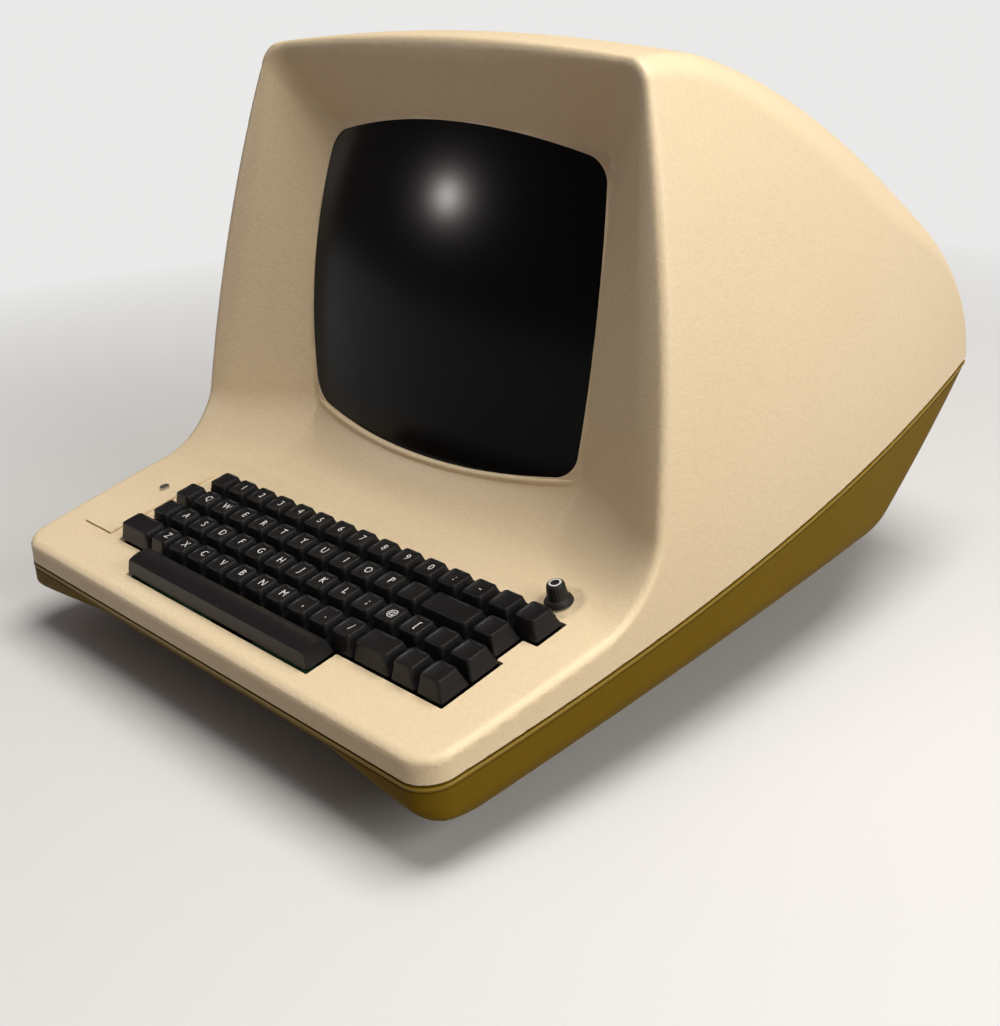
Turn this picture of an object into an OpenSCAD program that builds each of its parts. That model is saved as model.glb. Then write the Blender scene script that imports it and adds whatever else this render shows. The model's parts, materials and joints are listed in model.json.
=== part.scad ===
// Clamshell video display terminal: a moulded hood over a boat-shaped base, a picture tube, a keyboard.
// Millimetres, Z up, the front looks to -Y, the origin is under the middle of the whole thing.

/* [Case] */
// Overall width across the widest part of the case
body_w = 396; // [380:1:420]
// Height from the table to the crown of the hood
body_h = 343; // [330:1:360]
// Depth from the front lip to the back of the hinge barrels
body_d = 483; // [470:1:500]
// Radius of each side wall seen from above
side_r = 1500; // [1350:10:1700]
// Distance of the widest point ahead of the middle
widest_y = 90; // [70:5:130]
// Radius of the inward lean of the hood sides
lean_r = 750; // [650:10:900]
// Wall of the moulded hood
hood_wall = 4.5; // [3.5:0.25:5.5]
// Wall of the moulded base
base_wall = 4.5; // [3.5:0.25:5.5]
// Gap of the seam between hood and base
seam = 1.2; // [0.8:0.1:2]
// Height of the seam line at the front lip
seam_front = 47; // [44:1:50]
// Height of the seam line at the back
seam_back = 131; // [126:1:136]
// Radius of the long sweep of the seam line
seam_r = 4800; // [4000:100:6000]

/* [Hood] */
// Radius of the crown across the hood
crown_r = 1400; // [1200:50:1800]
// Radius of the long sweep over the back of the hood
sweep_r = 535; // [500:5:570]
// Radius where the sweep meets the flat crown
brow_r = 150; // [120:5:180]
// Radius where the sweep turns down to the seam
tail_r = 110; // [90:5:125]
// Backward lean of the screen and of the cheeks
lean_angle = 10.4; // [9:0.1:12]
// Depth of the screen behind the cheeks
cheek_deep = 27; // [24:0.5:30]
// Width of the nose of each cheek at the deck
nose_w = 9; // [7:0.5:13]
// Concave radius where the cheeks run into the deck
cheek_fillet = 30; // [22:1:36]

/* [Screen] */
// Width of the screen opening at its corners
open_w = 226; // [216:1:232]
// Height of the screen opening at its corners
open_h = 163; // [155:1:170]
// Distance the face of the tube stands out of the opening
face_out = 15.2; // [13:0.2:17]
// Corner radius of the opening
open_r = 9; // [6:1:12]
// Height of the centre of the opening as a share of the height of the case
screen_up = 0.5948; // [0.585:0.001:0.605]
// Distance of the centre of the opening ahead of the middle as a share of the depth of the case
screen_ahead = 0.1139; // [0.105:0.001:0.12]
// Radius of the face of the picture tube
face_r = 560; // [500:10:620]
// Width of the picture tube across its band
tube_w = 254; // [248:1:258]
// Height of the picture tube across its band
tube_h = 196; // [190:1:200]
// Length of the picture tube from face to pins
tube_l = 258; // [250:1:262]
// Neck diameter of the picture tube
neck_d = 28.6; // [27:0.1:29.5]

/* [Deck and keys] */
// Slope of the keyboard deck
deck_angle = 11.8; // [10.5:0.1:13]
// Distance of the front of the key opening behind the front lip
deck_lip = 13.5; // [12:0.5:15]
// Height of the deck at the front of the key opening
deck_z = 64.4; // [62.5:0.1:66]
// Pitch of the keys
key_pitch = 19.05; // [18.8:0.05:19.2]
// Left edge of the first key of the number row
keys_left = -116.2; // [-118:0.1:-115]
// Gap between a key and its neighbour
key_gap = 1.0; // [0.8:0.1:1.4]
// Gap between the keys and the deck opening
opening_gap = 1.3; // [1.2:0.1:1.8]
// Height of the key tops over the deck
key_top = 9.6; // [8.5:0.1:10.5]
// Depth of a key skirt below the deck surface
key_skirt = 0.5; // [0.2:0.1:1]
// Inward slope of the sides of a key
key_taper = 2.6; // [2:0.1:3]
// Depth of the scoop in a key top
key_dish = 1.2; // [0.8:0.1:1.5]
// Travel of a key
key_travel = 3.8; // [3.2:0.1:4]
// Diameter of a key stem
stem_d = 5.6; // [5:0.1:6]
// Free play round a key stem
stem_play = 0.1; // [0.06:0.01:0.16]

/* [Controls] */
// Diameter of the skirt of the knob
knob_skirt_d = 19; // [17:0.5:21]
// Diameter of the grip of the knob
knob_grip_d = 12.5; // [11:0.5:14]
// Height of the knob over the deck
knob_h = 13.5; // [12:0.5:15]
// Distance of the knob to the right of the middle
knob_x = 155; // [152:0.5:158]
// Distance of the knob up the deck from the front of the key opening
knob_v = 106.5; // [105:0.5:109]
// Diameter of the control shaft
shaft_d = 6.35; // [6:0.05:6.5]
// Free play round the control shaft
shaft_play = 0.1; // [0.06:0.01:0.16]
// Width of the access plate
plate_w = 31; // [28:0.5:33]
// Length of the access plate up the deck
plate_l = 75; // [72:0.5:78]
// Thickness of the access plate
plate_t = 1.6; // [1.2:0.1:2]

/* [Rear panel] */
// Width of the metal rear panel
panel_w = 190; // [186:1:194]
// Height of the metal rear panel
panel_h = 54; // [52:1:56]
// Thickness of the metal rear panel
panel_t = 1.5; // [1.2:0.1:2]
// Distance of the rear panel ahead of the back
panel_in = 49.5; // [46:0.5:54]
// Spacing of the jackscrews of a 25-way connector
jack_spacing = 47.04; // [46.9:0.02:47.2]
// Thread size of a jackscrew
jack_d = 2.8; // [2.6:0.1:3]
// Bore of the cord gland
gland_bore = 7.2; // [6.5:0.1:8]

/* [Inside] */
// Thickness of every circuit board
board_t = 1.6; // [1.4:0.1:2]
// Depth of the main board below the deck surface
board_depth = 22; // [21.5:0.1:23]
// Diameter of a rubber foot
foot_d = 22; // [18:1:26]
// Height of the belly over the table
belly_z = 8; // [6:0.5:10]

/* [Hidden] */
$fn = 48;
long_fn = 360;
half_w = body_w / 2;
barrel_d = 7;
shell_front = -body_d / 2;
barrel_out = 3;
shell_back = body_d / 2 - barrel_out;
hinge_y = body_d / 2 - barrel_d / 2;
screen_z = screen_up * body_h;
screen_y = screen_ahead * body_d;
cheek_y = screen_y + cheek_deep;
deck_y = body_d / 2 - deck_lip;
panel_y = body_d / 2 - panel_in;
hinge_x = 95;
hinge_w = 40;
lean_start = 80;
brow_y = -38;
brow_turn = 16;
front_corner_r = 16;
back_corner_r = 7;
lip_r = 8;
visor_r = 13;
dish_corner_r = 34;
scoop_r = 28;

// Sweep circles of the roof as [y, z]: brow, long sweep, tail
brow_c = [brow_y, body_h - brow_r];
sweep_c = brow_c - (sweep_r - brow_r) * [sin(brow_turn), cos(brow_turn)];
tail_turn = asin((shell_back - tail_r - sweep_c[0]) / (sweep_r - tail_r));
tail_c = sweep_c + (sweep_r - tail_r) * [sin(tail_turn), cos(tail_turn)];

// Seam circle as [y, z]
seam_chord = [shell_back - shell_front, seam_back - seam_front];
seam_mid = [(shell_back + shell_front) / 2, (seam_back + seam_front) / 2];
seam_rise = sqrt(seam_r * seam_r - pow(norm(seam_chord) / 2, 2));
seam_c = seam_mid + seam_rise * [-seam_chord[1], seam_chord[0]] / norm(seam_chord);
function seam_z(y) = seam_c[1] - sqrt(seam_r * seam_r - pow(y - seam_c[0], 2));

// Deck and cheek lines as a point and a direction in [y, z]
deck_p = [-deck_y, deck_z];
deck_d = [cos(deck_angle), sin(deck_angle)];
deck_n = [-sin(deck_angle), cos(deck_angle)];
cheek_p = [-cheek_y, screen_z];
screen_p = [-screen_y, screen_z];
lean_d = [sin(lean_angle), cos(lean_angle)];
lean_n = [-cos(lean_angle), sin(lean_angle)];
dish_deep = (cheek_y - screen_y) * cos(lean_angle);
function meet(p, d, q, e) = p + d * (cross(q - p, e) / cross(d, e));

// Half width of the case at a place along it, and the inward lean at a height
function plan_x(y) = half_w - side_r + sqrt(side_r * side_r - pow(y + widest_y, 2));
function lean_x(z) = z < lean_start ? 0 : lean_r - sqrt(lean_r * lean_r - pow(z - lean_start, 2));
function arc_z(c, r, y) = c[1] + sqrt(max(0, r * r - pow(y - c[0], 2)));
sweep_from = brow_c[0] + brow_r * sin(brow_turn);
sweep_to = tail_c[0] + tail_r * sin(tail_turn);
function roof_z(y) =
    y < brow_c[0] ? body_h :
    y < sweep_from ? arc_z(brow_c, brow_r, y) :
    y < sweep_to ? arc_z(sweep_c, sweep_r, y) : arc_z(tail_c, tail_r, y);

// Key rows: left edge, width in keys, and row number counted from the space bar
row_left = [keys_left, keys_left - key_pitch / 2, keys_left - key_pitch / 4, keys_left - key_pitch / 2];
row_units = [15, 15, 15, 15.25];
function row_right(r) = row_left[r] + row_units[r] * key_pitch;
bar_left = row_left[3] + 2.125 * key_pitch;
bar_units = 9;
bar_right = bar_left + bar_units * key_pitch;
open_e = opening_gap - key_gap / 2;
housing_s = key_pitch - 3.4;
housing_top = -key_skirt - key_travel - 1.6;
housing_h = board_depth + housing_top;
stem_len = 9;

// Hinge pins, rear panel and floor
hinge_z = seam_back;
pin_d = 3;
pin_play = 0.1;
rest = 0.3;
panel_z = 70;
floor_z = belly_z + base_wall;
chine_x = 115;
chine_y = 45;
chine_rise = 0.66;
chine_turn = 10.2;
port_x = [-62, 0];
fuse_x = 42;
rocker_x = 62;
gland_x = 80;
board_x = [28 - half_w, half_w - 20];
board_v = [0, 185];
side_board_x = half_w - 48;
side_board_y = [screen_y - 35, screen_y + 85];
side_board_z = [screen_z - 54, screen_z + 46];

module on_deck() {
    translate([0, -deck_y, deck_z]) rotate([deck_angle, 0, 0]) children();
}

module on_screen() {
    translate([0, -screen_y, screen_z]) rotate([-lean_angle, 0, 0]) children();
}

// A flat shape drawn in [y, z] and drawn out across the case
module across(w = 440) {
    rotate([90, 0, 90]) linear_extrude(w, center = true) children();
}

// The web between two edges that leave a corner, with its hypotenuse rounded
module corner_web(p, a, b, r) {
    half = acos(a * b) / 2;
    c = p + (a + b) / norm(a + b) * r / sin(half);
    t = r / tan(half);
    difference() {
        polygon([p - 2 * (a + b), p + a * t, c, p + b * t]);
        translate(c) circle(r * 1.002, $fn = 96);
    }
}

// Points along an arc, its angle measured from straight up
function arc(c, r, from, to, n) = [for (i = [0 : n]) c + r * [
    sin(from + (to - from) * i / n),
    cos(from + (to - from) * i / n)
]];

// Roof outline in [y, z]: flat brow, long sweep over the tube, tail down to the seam
module roof_2d(t) {
    low = 20;
    polygon(concat(
        [[-260, low], [-260, body_h - t]],
        arc(brow_c, brow_r - t, 0, brow_turn, 8),
        arc(sweep_c, sweep_r - t, brow_turn + 1, tail_turn - 1, 14),
        arc(tail_c, tail_r - t, tail_turn, 90, 20),
        [[shell_back - t, low]]
    ));
}

// The roof swept across the crown, about an axis far below the case
module crown(t) {
    translate([0, 0, body_h - crown_r]) rotate([-90, 0, 0])
        rotate_extrude($fn = long_fn)
            translate([crown_r - body_h, 0]) mirror([1, -1]) roof_2d(t);
}

// One side wall: a rim that curves in plan and leans in with height
module side_ring(t) {
    translate([half_w - side_r, -widest_y, 0]) rotate_extrude($fn = long_fn) union() {
        translate([side_r - 470, -20]) square([470 - t, lean_start + 20]);
        intersection() {
            translate([side_r - lean_r, lean_start]) circle(lean_r - t, $fn = long_fn);
            translate([side_r - 470, lean_start]) square([470, 300]);
        }
    }
}

module side_walls(t) {
    intersection() {
        side_ring(t);
        mirror([1, 0, 0]) side_ring(t);
    }
}

// Plan corner between a side arc and a straight end
module plan_corner(y, end, r) {
    arc_c = [half_w - side_r, -widest_y];
    c = [arc_c[0] + sqrt(pow(side_r - r, 2) - pow(y - end * r - arc_c[1], 2)), y - end * r];
    u = (c - arc_c) / norm(c - arc_c);
    difference() {
        polygon([c, c + [0, 4 * r * end], c + [4 * r, 4 * r * end], c + 4 * r * u]);
        translate(c) circle(r, $fn = 96);
    }
}

module plan_2d(t) {
    difference() {
        translate([-220, shell_front + t]) square([440, shell_back - shell_front - 2 * t]);
        for (side = [0, 1]) mirror([side, 0]) {
            translate([-t, 0]) plan_corner(shell_front + t, -1, front_corner_r);
            translate([-t, 0]) plan_corner(shell_back - t, 1, back_corner_r);
        }
    }
}

// Front outline in [y, z]: deck, concave run-up, leaning cheeks, rounded brow edge
module front_2d(t) {
    p = deck_p - t * deck_n;
    q = cheek_p - t * lean_n;
    j = meet(p, deck_d, q, lean_d);
    front = shell_front + t;
    k = meet(p, deck_d, [front, 0], [0, 1]);
    top = meet(q, lean_d, [0, body_h - t], [1, 0]);
    difference() {
        union() {
            polygon([[front, -20], k, j, top, [300, body_h - t], [300, -20]]);
            corner_web(j, -deck_d, lean_d, cheek_fillet + t);
        }
        corner_web(k, deck_d, [0, -1], lip_r);
        corner_web(top, -lean_d, [1, 0], visor_r);
    }
}

module above_seam_2d(t) {
    intersection() {
        translate([-300, -20]) square([600, 400]);
        translate(seam_c) circle(seam_r - t, $fn = 720);
    }
}

module below_seam_2d(t) {
    difference() {
        translate([-300, -20]) square([600, 260]);
        translate(seam_c) circle(seam_r + t, $fn = 720);
    }
}

// The recess in front of the screen, drawn in the screen frame
module recess_slab(g, w_low, w_high, low, high, r) {
    rotate([90, 0, 0]) linear_extrude(0.02, center = true) hull() {
        for (s = [-1, 1]) {
            translate([s * (w_high + g - r), high + g - r]) circle(r, $fn = 32);
            translate([s * (w_low + g - 2), low + g - 2]) circle(2, $fn = 32);
        }
    }
}

module recess(g) {
    front = -1.4 * dish_deep;
    low_w = half_w + 5 - nose_w;
    high_w = half_w - 37 - nose_w;
    top_v = open_h / 2 + 48;
    half_v = open_h / 2;
    stretch = 1.4;
    wide_low = open_w / 2 + stretch * (low_w - open_w / 2);
    wide_high = open_w / 2 + stretch * (high_w - open_w / 2);
    tall = half_v + stretch * (top_v - half_v);
    intersection() {
        on_screen() hull() {
            translate([0, g, 0]) recess_slab(g, open_w / 2, open_w / 2, -130, half_v, open_r + 3);
            translate([0, front, 0]) recess_slab(g, wide_low, wide_high, -130, tall, dish_corner_r);
        }
        across() recess_front_2d(g);
    }
}

// Space over the deck and ahead of the screen, with the scoop between them
module recess_front_2d(g) {
    p = deck_p - g * deck_n;
    q = screen_p - g * lean_n;
    j = meet(p, deck_d, q, lean_d);
    difference() {
        polygon([j - 400 * deck_d, j, j + 400 * lean_d, j + 400 * (lean_d - deck_d)]);
        corner_web(j, -deck_d, lean_d, scoop_r + g);
    }
}

module rounded_2d(w, h, r) {
    square([w - 2 * r, h], center = true);
    square([w, h - 2 * r], center = true);
    for (sx = [-1, 1], sz = [-1, 1]) translate([sx * (w / 2 - r), sz * (h / 2 - r)]) circle(r);
}

// The front of the tube: a spherical face cut to the outline of the panel, drawn in the screen frame
module tube_front(g, depth) {
    intersection() {
        translate([0, -face_out - g, 0]) rotate([-90, 0, 0]) rotate_extrude($fn = long_fn)
            intersection() {
                translate([0, face_r]) circle(face_r, $fn = 720);
                square([190, depth]);
            }
        rotate([90, 0, 0]) linear_extrude(300, center = true)
            rounded_2d(tube_w + 2 * g, tube_h + 2 * g, 22 + g);
    }
}

module outer_case(t) {
    intersection() {
        side_walls(t);
        translate([0, 0, -20]) linear_extrude(400) plan_2d(t);
    }
}

module hood_solid(t) {
    intersection() {
        outer_case(t);
        crown(t);
        across() front_2d(t);
    }
}

// Where the deck opening cuts: one band for each key row, stepped like the rows
module key_opening_2d() {
    e = open_e;
    for (r = [0 : 3]) {
        low = (4 - r) * key_pitch - e;
        translate([row_left[r] - e, low])
            square([row_right(r) - row_left[r] + 2 * e, key_pitch + 2 * e]);
    }
    translate([bar_left - e, -e]) square([bar_right - bar_left + 2 * e, key_pitch + 2 * e]);
}

plate_x = -152.5;
plate_v = 56.8;
plate_edge = 3.5;
plate_screw_v = 68;

module hinge_barrels(from, to) {
    for (s = [-1, 1]) translate([s * hinge_x, hinge_y, hinge_z]) rotate([0, 90, 0])
        for (k = from) translate([0, 0, k[0]]) cylinder(d = barrel_d + to, h = k[1] - k[0]);
}

hood_knuckle = [[-7.7, 7.7]];
base_knuckles = [[-20, -8], [8, 20]];

module knuckle_webs(spans, up) {
    web_y = shell_back - hood_wall + 0.4;
    for (s = [-1, 1], k = spans) translate([s * hinge_x + k[0], 0, hinge_z]) rotate([90, 0, 90])
        linear_extrude(k[1] - k[0]) polygon([
            [web_y, up * 1],
            [hinge_y + barrel_d / 2 - 0.2, up * 1],
            [hinge_y + barrel_d / 2 - 0.2, up * 0.6],
            [hinge_y - 2, up * 14],
            [web_y, up * 14]
        ]);
}

module hinge_bores() {
    for (s = [-1, 1]) translate([s * hinge_x, hinge_y, hinge_z]) rotate([0, 90, 0])
        cylinder(d = pin_d + pin_play, h = hinge_w + 2, center = true);
    for (s = [-1, 1]) translate([s * hinge_x, hinge_y, hinge_z]) rotate([0, 90, 0])
        translate([0, 0, hinge_w / 2]) cylinder(d = 5.8, h = 1.7);
}

ear_x = tube_w / 2 - 9;
ear_v = tube_h / 2 + 2;

module hood_bosses() {
    on_screen() for (sx = [-1, 1], sz = [-1, 1])
        translate([sx * ear_x, 0, sz * ear_v]) rotate([90, 0, 0]) cylinder(d = 13, h = 60, center = true);
}

module side_bosses() {
    for (y = [side_board_y[0] + 8, side_board_y[1] - 8], z = [side_board_z[0] + 8, side_board_z[1] - 14])
        translate([side_board_x + rest, y, z]) rotate([0, 90, 0]) cylinder(d = 9, h = 60);
}

module top_cover() {
    color("#d8cdb4") difference() {
        union() {
            difference() {
                hood_solid(0);
                recess(0);
                difference() {
                    hood_solid(hood_wall);
                    recess(hood_wall);
                    intersection() {
                        hood_bosses();
                        on_screen() translate([-200, -60, -200]) cube([400, 70, 400]);
                    }
                    side_bosses();
                }
            }
            screen_lip();
            hinge_barrels(hood_knuckle, 0);
            intersection() {
                hinge_webs_hood();
                translate([-200, 0, 0]) cube([400, 300, 300]);
            }
        }
        hood_cuts();
    }
}

module hinge_webs_hood() {
    knuckle_webs(hood_knuckle, 1);
}

// Small ledge that follows the bow of the glass under the screen
module screen_lip() {
    intersection() {
        on_screen() tube_front(1.6, 30);
        on_screen() translate([-open_w / 2 - 2, -20, -open_h / 2 - 13]) cube([open_w + 4, 24, 30]);
        hood_solid(0);
    }
}

module hood_cuts() {
    difference() {
        below_seam_cut();
        hinge_barrels(hood_knuckle, 0.01);
    }
    on_screen() {
        tube_front(0.6, 80);
        rotate([90, 0, 0]) linear_extrude(40, center = true) rounded_2d(open_w, open_h, open_r);
        for (sx = [-1, 1], sz = [-1, 1])
            translate([sx * ear_x, 10.1, sz * ear_v]) rotate([90, 0, 0]) cylinder(d = 3.6, h = 12);
    }
    on_deck() {
        translate([0, 0, -20]) linear_extrude(60) key_opening_2d();
        translate([knob_x, knob_v, -20]) cylinder(d = 9.8, h = 30);
        translate([knob_x, knob_v, 0]) cylinder(d = knob_skirt_d + 1, h = 20);
        translate([plate_x, plate_v, -plate_t - rest]) linear_extrude(10)
            square([plate_w + 0.8, plate_l + 0.8], center = true);
        difference() {
            translate([plate_x, plate_v, -20]) linear_extrude(30)
                square([plate_w - 2 * plate_edge, plate_l - 2 * plate_edge], center = true);
            translate([plate_x, plate_screw_v, -10]) linear_extrude(20)
                square([plate_w, 11], center = true);
        }
        translate([plate_x, plate_screw_v, -20]) cylinder(d = 2.7, h = 30);
    }
    for (y = [side_board_y[0] + 8, side_board_y[1] - 8], z = [side_board_z[0] + 8, side_board_z[1] - 14])
        translate([side_board_x - 1, y, z]) rotate([0, 90, 0]) cylinder(d = 2.8, h = 12);
    hinge_barrels(base_knuckles_wide, 1.2);
    hinge_bores();
}

base_knuckles_wide = [[-20.5, -7.7], [7.7, 20.5]];
hood_knuckle_wide = [[-8, 8]];

module below_seam_cut() {
    difference() {
        translate([-260, -300, -60]) cube([520, 600, 260]);
        across(500) above_seam_2d(seam / 2);
    }
}

// Below a plane through a point of each side, which climbs outwards and to the back
module chine_cut(g, from, turn, slope) {
    for (s = [0, 1]) mirror([s, 0, 0]) translate(from)
        rotate([0, 0, turn]) rotate([90, 0, 0]) linear_extrude(900, center = true) {
            lift = g * sqrt(1 + slope * slope);
            polygon([[-200, lift - 200 * slope], [300, lift + 300 * slope], [300, -260], [-200, -260]]);
        }
}

front_rise = 30;
front_run = 92;
stern_r = 110;
stern_z = 118;

// Keel outline in [y, z]: sloping bow, flat belly, round stern
module keel_2d(t) {
    run = [front_run, belly_z - front_rise];
    in = t * [-run[1], run[0]] / norm(run);
    bow = [shell_front, front_rise];
    from = meet(bow + in, run, [0, belly_z + t], [1, 0]);
    start = meet(bow + in, run, [shell_front - 5, 0], [0, 1]);
    stern_c = [shell_back - stern_r, stern_z];
    union() {
        polygon([
            start, from, [stern_c[0], belly_z + t], [stern_c[0], 240], [shell_front - 5, 240]
        ]);
        translate(stern_c) intersection() {
            circle(stern_r - t, $fn = long_fn);
            translate([-1, -stern_r]) square([stern_r + 1, stern_r]);
        }
        translate([stern_c[0] - 1, stern_z - 0.01]) square([stern_r - t + 1, 120]);
    }
}

module base_solid(t) {
    difference() {
        intersection() {
            outer_case(t);
            across() keel_2d(t);
        }
        chine_cut(t, [chine_x, chine_y, belly_z], chine_turn, chine_rise / cos(chine_turn));
        chine_cut(t, [half_w - 14, body_d / 2 - 124.5, 65], 37.9, 1.12);
    }
}

module below_seam(t) {
    across(500) below_seam_2d(t);
}

post_spots = [
    [board_x[0] + 10, 10], [board_x[1] - 18, 10], [board_x[0] + 10, 175], [20, 178],
    [board_x[1] - 13, 178], [-60, 100], [80, 100]
];

module board_posts(d, gap) {
    on_deck() for (p = post_spots)
        translate([p[0], p[1], -board_depth - board_t - gap - 90]) cylinder(d = d, h = 90);
}

module base_shell() {
    color("#a8873a") difference() {
        union() {
            difference() {
                intersection() {
                    base_solid(0);
                    below_seam(seam / 2);
                }
                difference() {
                    base_solid(base_wall);
                    notch_box(base_wall + 1);
                }
            }
            locating_lip();
            intersection() {
                base_solid(1);
                board_posts(9, 0);
            }
            intersection() {
                base_solid(0);
                hinge_webs_base();
            }
            hinge_barrels(base_knuckles, 0);
        }
        base_cuts();
    }
}

module hinge_webs_base() {
    knuckle_webs(base_knuckles, -1);
}

module notch_box(g) {
    w = panel_w + 1.6 + 2 * g;
    h = panel_h + 1.6 + 2 * g;
    translate([-w / 2, panel_y - g, panel_z - h / 2]) cube([w, 80, h]);
}

// Lip that rises inside the hood wall and keeps the two halves in line
module locating_lip() {
    gap = 0.5;
    intersection() {
        difference() {
            base_solid(hood_wall + gap);
            base_solid(hood_wall + gap + 2.5);
            translate([0, 0, 0]) notch_box(base_wall);
        }
        across(500) difference() {
            below_seam_2d(-5);
            below_seam_2d(8);
        }
    }
    difference() {
        intersection() {
            base_solid(base_wall - 1);
            across(500) difference() {
                below_seam_2d(2);
                below_seam_2d(8);
            }
        }
        base_solid(hood_wall + gap + 2.5);
    }
}

module base_cuts() {
    notch_box(0);
    translate([-panel_w / 2 + 7, panel_y - 20, panel_z - panel_h / 2 + 7])
        cube([panel_w - 14, 30, panel_h - 14]);
    panel_screw_spots() rotate([-90, 0, 0]) translate([0, 0, -5]) cylinder(d = 2.7, h = 10);
    on_deck() for (p = post_spots)
        translate([p[0], p[1], -board_depth - board_t - 10]) cylinder(d = 2.7, h = 20);
    for (f = foot_spots) translate([f[0], f[1], 0]) cylinder(d = 5.4, h = 40);
    for (i = [-5 : 5]) {
        translate([i * 9 - 2, -60, 0]) cube([4, 60, 20]);
        translate([i * 9 - 2, 20, 0]) cube([4, 30, 20]);
    }
    hinge_barrels(hood_knuckle_wide, 1.2);
    hinge_bores();
}

foot_spots = [[-112, -125], [112, -125], [-70, 112], [70, 112]];

module panel_screw_spots() {
    for (sx = [-1, 1], sz = [-1, 1])
        translate([sx * (panel_w / 2 - 4), panel_y, panel_z + sz * (panel_h / 2 - 4)]) children();
}

// Picture tube: spherical face, panel, funnel and neck
funnel_d = 74;
funnel_y = 108;
cone_y = 148;
panel_back = 30;
tube_end = tube_l - face_out;
neck_end = tube_end - 9;

module tube_axis(y) {
    translate([0, y, 0]) rotate([-90, 0, 0]) children();
}

module crt_tube() {
    color("#2b2e2c") on_screen() {
        intersection() {
            tube_front(0, 150);
            translate([-200, -50, -200]) cube([400, 50 + panel_back, 400]);
        }
        hull() {
            tube_axis(panel_back - 0.01) linear_extrude(1) rounded_2d(tube_w - 4, tube_h - 4, 20);
            tube_axis(panel_back + 20) linear_extrude(1) rounded_2d(tube_w - 44, tube_h - 34, 30);
            tube_axis(funnel_y) cylinder(d = funnel_d, h = 1, $fn = 32);
        }
        tube_axis(funnel_y) cylinder(d1 = funnel_d, d2 = neck_d, h = cone_y - funnel_y);
        tube_axis(cone_y - 0.1) cylinder(d = neck_d, h = neck_end - cone_y + 0.1);
        tube_axis(neck_end) difference() {
            cylinder(d = 20, h = 9);
            translate([0, 0, 4]) cylinder(d = 12, h = 6);
        }
    }
}

// Steel band with four ears, and the screws that hold them
module crt_band() {
    band_from = 10.4;
    color("#8c8f90") on_screen() {
        difference() {
            union() {
                tube_axis(band_from) linear_extrude(20)
                    rounded_2d(tube_w + 3.6, tube_h + 3.6, 23.8);
                for (sx = [-1, 1], sz = [-1, 1]) tube_axis(band_from) linear_extrude(2)
                    translate([sx * (ear_x - 4), -sz * (ear_v - 6)]) rounded_2d(24, 30, 6);
            }
            tube_axis(band_from - 1) linear_extrude(40)
                rounded_2d(tube_w + 0.6, tube_h + 0.6, 22.3);
            for (sx = [-1, 1], sz = [-1, 1]) translate([sx * ear_x, 0, sz * ear_v])
                tube_axis(0) cylinder(d = 4.4, h = 30);
        }
        for (sx = [-1, 1], sz = [-1, 1]) translate([sx * ear_x, 0, sz * ear_v]) {
            tube_axis(12.4) cylinder(d = 8, h = 2.6);
            tube_axis(2) cylinder(d = 3.5, h = 10.5);
        }
    }
}

// Yoke: a plastic former on the cone, saddle windings, a ferrite ring and a clamp
module deflection_yoke() {
    slope = (funnel_d - neck_d) / 2 / (cone_y - funnel_y);
    near = funnel_d / 2 + 0.6 - 4 * slope;
    far = neck_d / 2 + 0.6;
    color("#7a3b22") on_screen() {
        tube_axis(funnel_y + 4) rotate_extrude($fn = 96) polygon([
            [near, 0], [near + 9, 0], [near + 9, 3], [near + 3, 3],
            [far + 6, cone_y - funnel_y + 2], [far + 11, cone_y - funnel_y + 2],
            [far + 11, cone_y - funnel_y + 5], [far + 2, cone_y - funnel_y + 5],
            [far + 2, cone_y - funnel_y + 14], [far, cone_y - funnel_y + 14],
            [far, cone_y - funnel_y - 4]
        ]);
        tube_axis(funnel_y + 14) difference() {
            cylinder(d1 = 82, d2 = 62, h = 22);
            translate([0, 0, -0.1]) cylinder(d1 = 71, d2 = 50, h = 22.2);
        }
    }
}

module tube_socket() {
    color("#4a3a2c") on_screen() difference() {
        union() {
            tube_axis(neck_end - 2) cylinder(d = 38, h = 5);
            tube_axis(neck_end + 2.9) cylinder(d = 31, h = 11);
        }
        tube_axis(neck_end - 3) cylinder(d = neck_d + 0.8, h = 3);
        tube_axis(neck_end - 0.5) cylinder(d = 20.6, h = 10);
    }
}

module monitor_board() {
    y = side_board_y;
    z = side_board_z;
    color("#5b7d3a") {
        difference() {
            translate([side_board_x - board_t, y[0], z[0]]) cube([board_t, y[1] - y[0], z[1] - z[0]]);
            for (sy = [y[0] + 8, y[1] - 8], sz = [z[0] + 8, z[1] - 14])
                translate([side_board_x - 5, sy, sz]) rotate([0, 90, 0]) cylinder(d = 3.4, h = 10);
        }
    }
    color("#3f5fa8") for (c = [[20, 82], [42, 82], [64, 86], [28, 55]])
        translate([side_board_x - board_t - 24, y[0] + c[0], z[0] + c[1]])
            rotate([0, 90, 0]) cylinder(d = 15, h = 24);
    color("#8d6a3a") for (i = [0 : 6])
        translate([side_board_x - board_t - 4, y[0] + 14 + i * 14, z[0] + 16]) cube([4, 4, 12]);
}

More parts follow.
